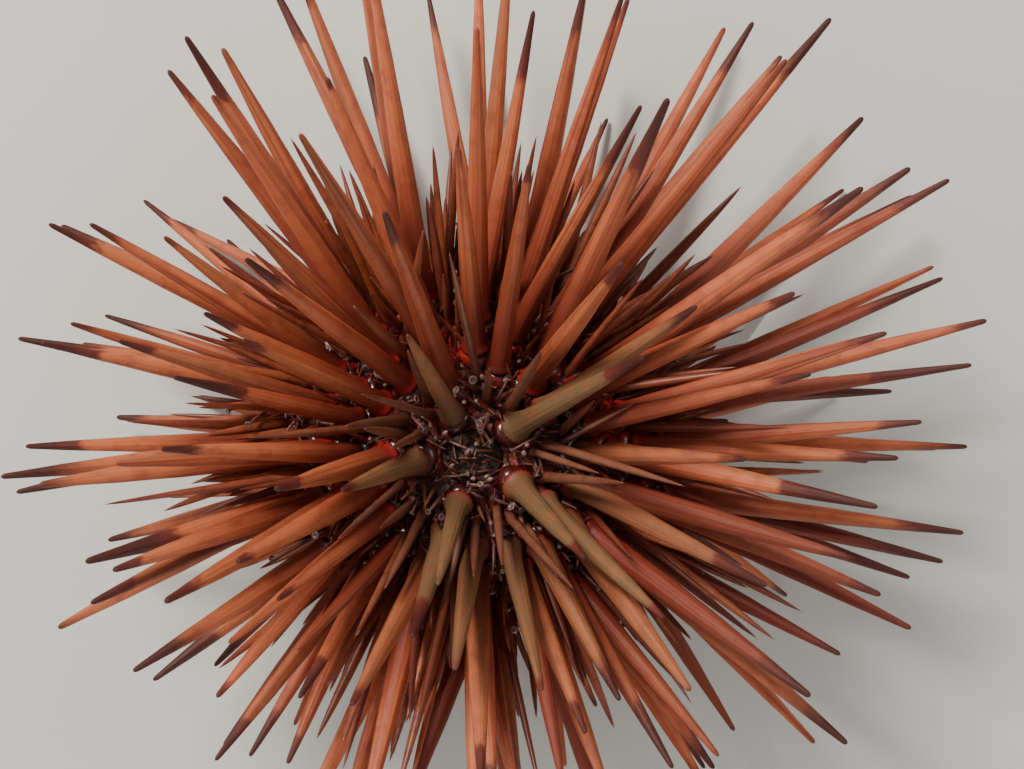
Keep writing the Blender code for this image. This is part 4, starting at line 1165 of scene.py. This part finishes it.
def teeth_forms():
    """Five chisels along a curve that leans in: a rounded box across, with a keel, narrowing to an edge."""
    azimuth = FIRST_WIDE_ZONE + ZONE_TURN * np.arange(ZONES)
    out = np.stack([np.cos(azimuth), np.sin(azimuth), 0 * azimuth], -1)[:, None]
    around = np.stack([-np.sin(azimuth), np.cos(azimuth), 0 * azimuth], -1)[:, None]
    upright = np.array([0.0, 0.0, 1.0])
    root, bend, tip = (r * out + z * upright for r, z in (TOOTH_ROOT, TOOTH_BEND, TOOTH_TIP))
    share = np.linspace(0, 1, TOOTH_STEPS)[None, :, None]
    curve, runs = bent_path(root, bend, tip, share)
    curve = curve + np.array([CENTRE[0], CENTRE[1], 0.0])
    side = np.broadcast_to(around, curve.shape)
    turn = 2 * math.pi * np.arange(TOOTH_SIDES) / TOOTH_SIDES
    wide = TOOTH_HALF_WIDTH * (1 - 0.62 * smooth(share, 0.45, 1.02))
    thick = TOOTH_HALF_THICK * (1 - 0.75 * smooth(share, 0.3, 1.0))
    girth = ((np.abs(np.cos(turn)) / wide) ** 4 + (np.abs(np.sin(turn)) / thick) ** 4) ** -0.25
    keel = 1 + 0.25 * np.exp(-(((turn - 1.5 * math.pi) / 0.3) ** 2))
    girth = np.broadcast_to(girth * keel, (ZONES, TOOTH_STEPS, TOOTH_SIDES))
    edge = curve[:, -1] + 0.03 * MM * runs[:, -1]
    points, quads, caps = tubes(curve, side, np.cross(runs, side), girth, edge, curve[:, 0], TOOTH_SIDES)
    along = np.broadcast_to(share[..., 0], (ZONES, TOOTH_STEPS))
    return points, quads, caps, {}, {"along": each_point(along, ZONES, TOOTH_STEPS, TOOTH_SIDES)}


def tooth_finish():
    """Polished white lime, faintly banded, yellower at the root and thin and clear at the edge."""
    made, tree, shader = finish_of(
        "tooth", Roughness=0.28, Specular_IOR_Level=0.5, Subsurface_Weight=0.2,
        Subsurface_Radius=(0.0008, 0.0006, 0.0004), Subsurface_Scale=1.0,
    )
    along = value_at(tree, "along")
    base = mixed(tree, along, (0.52, 0.40, 0.27, 1), (0.78, 0.73, 0.64, 1))
    place = add(tree, "ShaderNodeTexCoord").outputs["Object"]
    flat = add(tree, "ShaderNodeMapping", {"Vector": place, "Scale": (0.3, 0.3, 1.0)}).outputs["Vector"]
    bands = noise(tree, flat, 2600.0, 2.0)
    base = mixed(tree, between(tree, bands, 0.5, 0.7, 0.0, 0.4), base, (0.46, 0.38, 0.29, 1))
    dressed(tree, shader, base, (bands, 0.00004, 0.4))
    return made


teeth = surface("teeth", *teeth_forms(), tooth_finish())
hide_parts("mouth")

narrow_turns = np.repeat(FIRST_WIDE_ZONE + ZONE_TURN * (np.arange(ZONES) + 0.5), 2)
pair = narrow_turns + np.tile([-FEEDING_PAIR, FEEDING_PAIR], ZONES)
polar = math.pi - math.asin(FEEDING_FEET_OUT / MEAN_RADIUS)
start = on_test(0 * pair + polar, pair)
out = unit((start - CENTRE) * [1, 1, 0])
end = start + 1.0 * MM * out - [0, 0, 2.0 * MM]
made = bent_feet(
    start + [0, 0, 0.4 * MM], start + 0.1 * MM * out - [0, 0, 1.2 * MM], end,
    np.full(len(start), 0.3 * MM), np.full(len(start), 0.5 * MM),
)
feeding = surface("feeding_feet", *made, FOOT_FINISH)

polar = math.pi - math.asin(MOUTH_RADIUS / MEAN_RADIUS)
turns = np.repeat(narrow_turns + np.tile([-GILL_PAIR, GILL_PAIR], ZONES), GILL_FINGERS)
polar = polar + draw.uniform(-0.03, 0.015, len(turns))
foot = on_test(polar, turns + draw.uniform(-0.05, 0.05, len(turns)))
aim = unit(outward(foot) + draw.uniform(-0.75, 0.75, foot.shape))
made = thin_tubes(
    foot, aim, draw.uniform(0.8, 1.7, len(foot)) * MM, draw.uniform(0.12, 0.19, len(foot)) * MM,
    GILL_STEPS, GILL_GIRTH, PINCER_SIDES, GILL_SINK,
)
gills = surface("gills", *made, PINCER_FINISH)


# The studio
# A pale plain floor under soft lamps, and the camera above the urchin, a little past straight down.
floor = bpy.data.meshes.new("floor")
floor.from_pydata([(-3, -3, 0), (3, -3, 0), (3, 3, 0), (-3, 3, 0)], [], [(0, 1, 2, 3)])
floor_finish, _, floor_shader = finish_of("pale_floor", Roughness=0.8)
floor_shader.inputs["Base Color"].default_value = (0.62, 0.61, 0.58, 1)
floor.materials.append(floor_finish)
ground = bpy.data.objects.new("floor", floor)
bpy.context.scene.collection.objects.link(ground)

LENS = 67.0
SENSOR = 36.0
IMAGE = (1024, 769)
LEAN = math.radians(96)
DISTANCE = 202 * MM
APEX_PIXEL = (472, 458)
APEX = Vector((CENTRE[0], CENTRE[1], WIDEST_LEVEL + CROWN_HEIGHT))
PIXELS = IMAGE[0] * LENS / SENSOR

view = Vector((0, math.cos(LEAN), -math.sin(LEAN)))
upward = Vector((0, math.sin(LEAN), math.cos(LEAN)))
right = Vector((1, 0, 0))
shift_x = (APEX_PIXEL[0] - IMAGE[0] / 2) / PIXELS
shift_y = (IMAGE[1] / 2 - APEX_PIXEL[1]) / PIXELS
camera = bpy.data.cameras.new("camera")
camera.lens = LENS
camera.sensor_width = SENSOR
camera.clip_start = 0.01
eye = bpy.data.objects.new("camera", camera)
eye.location = APEX - DISTANCE * (view + shift_x * right + shift_y * upward)
eye.rotation_euler = Matrix((right, upward, -view)).transposed().to_euler()
bpy.context.scene.collection.objects.link(eye)
bpy.context.scene.camera = eye

# Each lamp: its name, place, width, power and colour
LAMPS = (
    ("key", (-0.26, 0.40, 0.46), 0.18, 6.2, (1.0, 0.96, 0.87)),
    ("fill", (0.48, 0.20, 0.40), 0.45, 1.1, (0.98, 0.98, 0.95)),
    ("side", (-0.52, -0.10, 0.30), 0.40, 1.2, (1.0, 0.98, 0.93)),
    ("front", (0.20, -0.60, 0.12), 0.45, 2.2, (1.0, 0.98, 0.94)),
)
for name, place, size, power, colour in LAMPS:
    lamp = bpy.data.lights.new(name, "AREA")
    lamp.shape = "DISK"
    lamp.size = size
    lamp.energy = power
    lamp.color = colour
    holder = bpy.data.objects.new(name, lamp)
    holder.location = place
    holder.rotation_euler = (Vector((0, 0, 0.01)) - Vector(place)).to_track_quat("-Z", "Y").to_euler()
    bpy.context.scene.collection.objects.link(holder)
world = bpy.data.worlds.new("studio")
world.use_nodes = True
sky = world.node_tree.nodes["Background"]
sky.inputs["Color"].default_value = (0.90, 0.91, 0.88, 1)
sky.inputs["Strength"].default_value = 0.27
bpy.context.scene.world = world
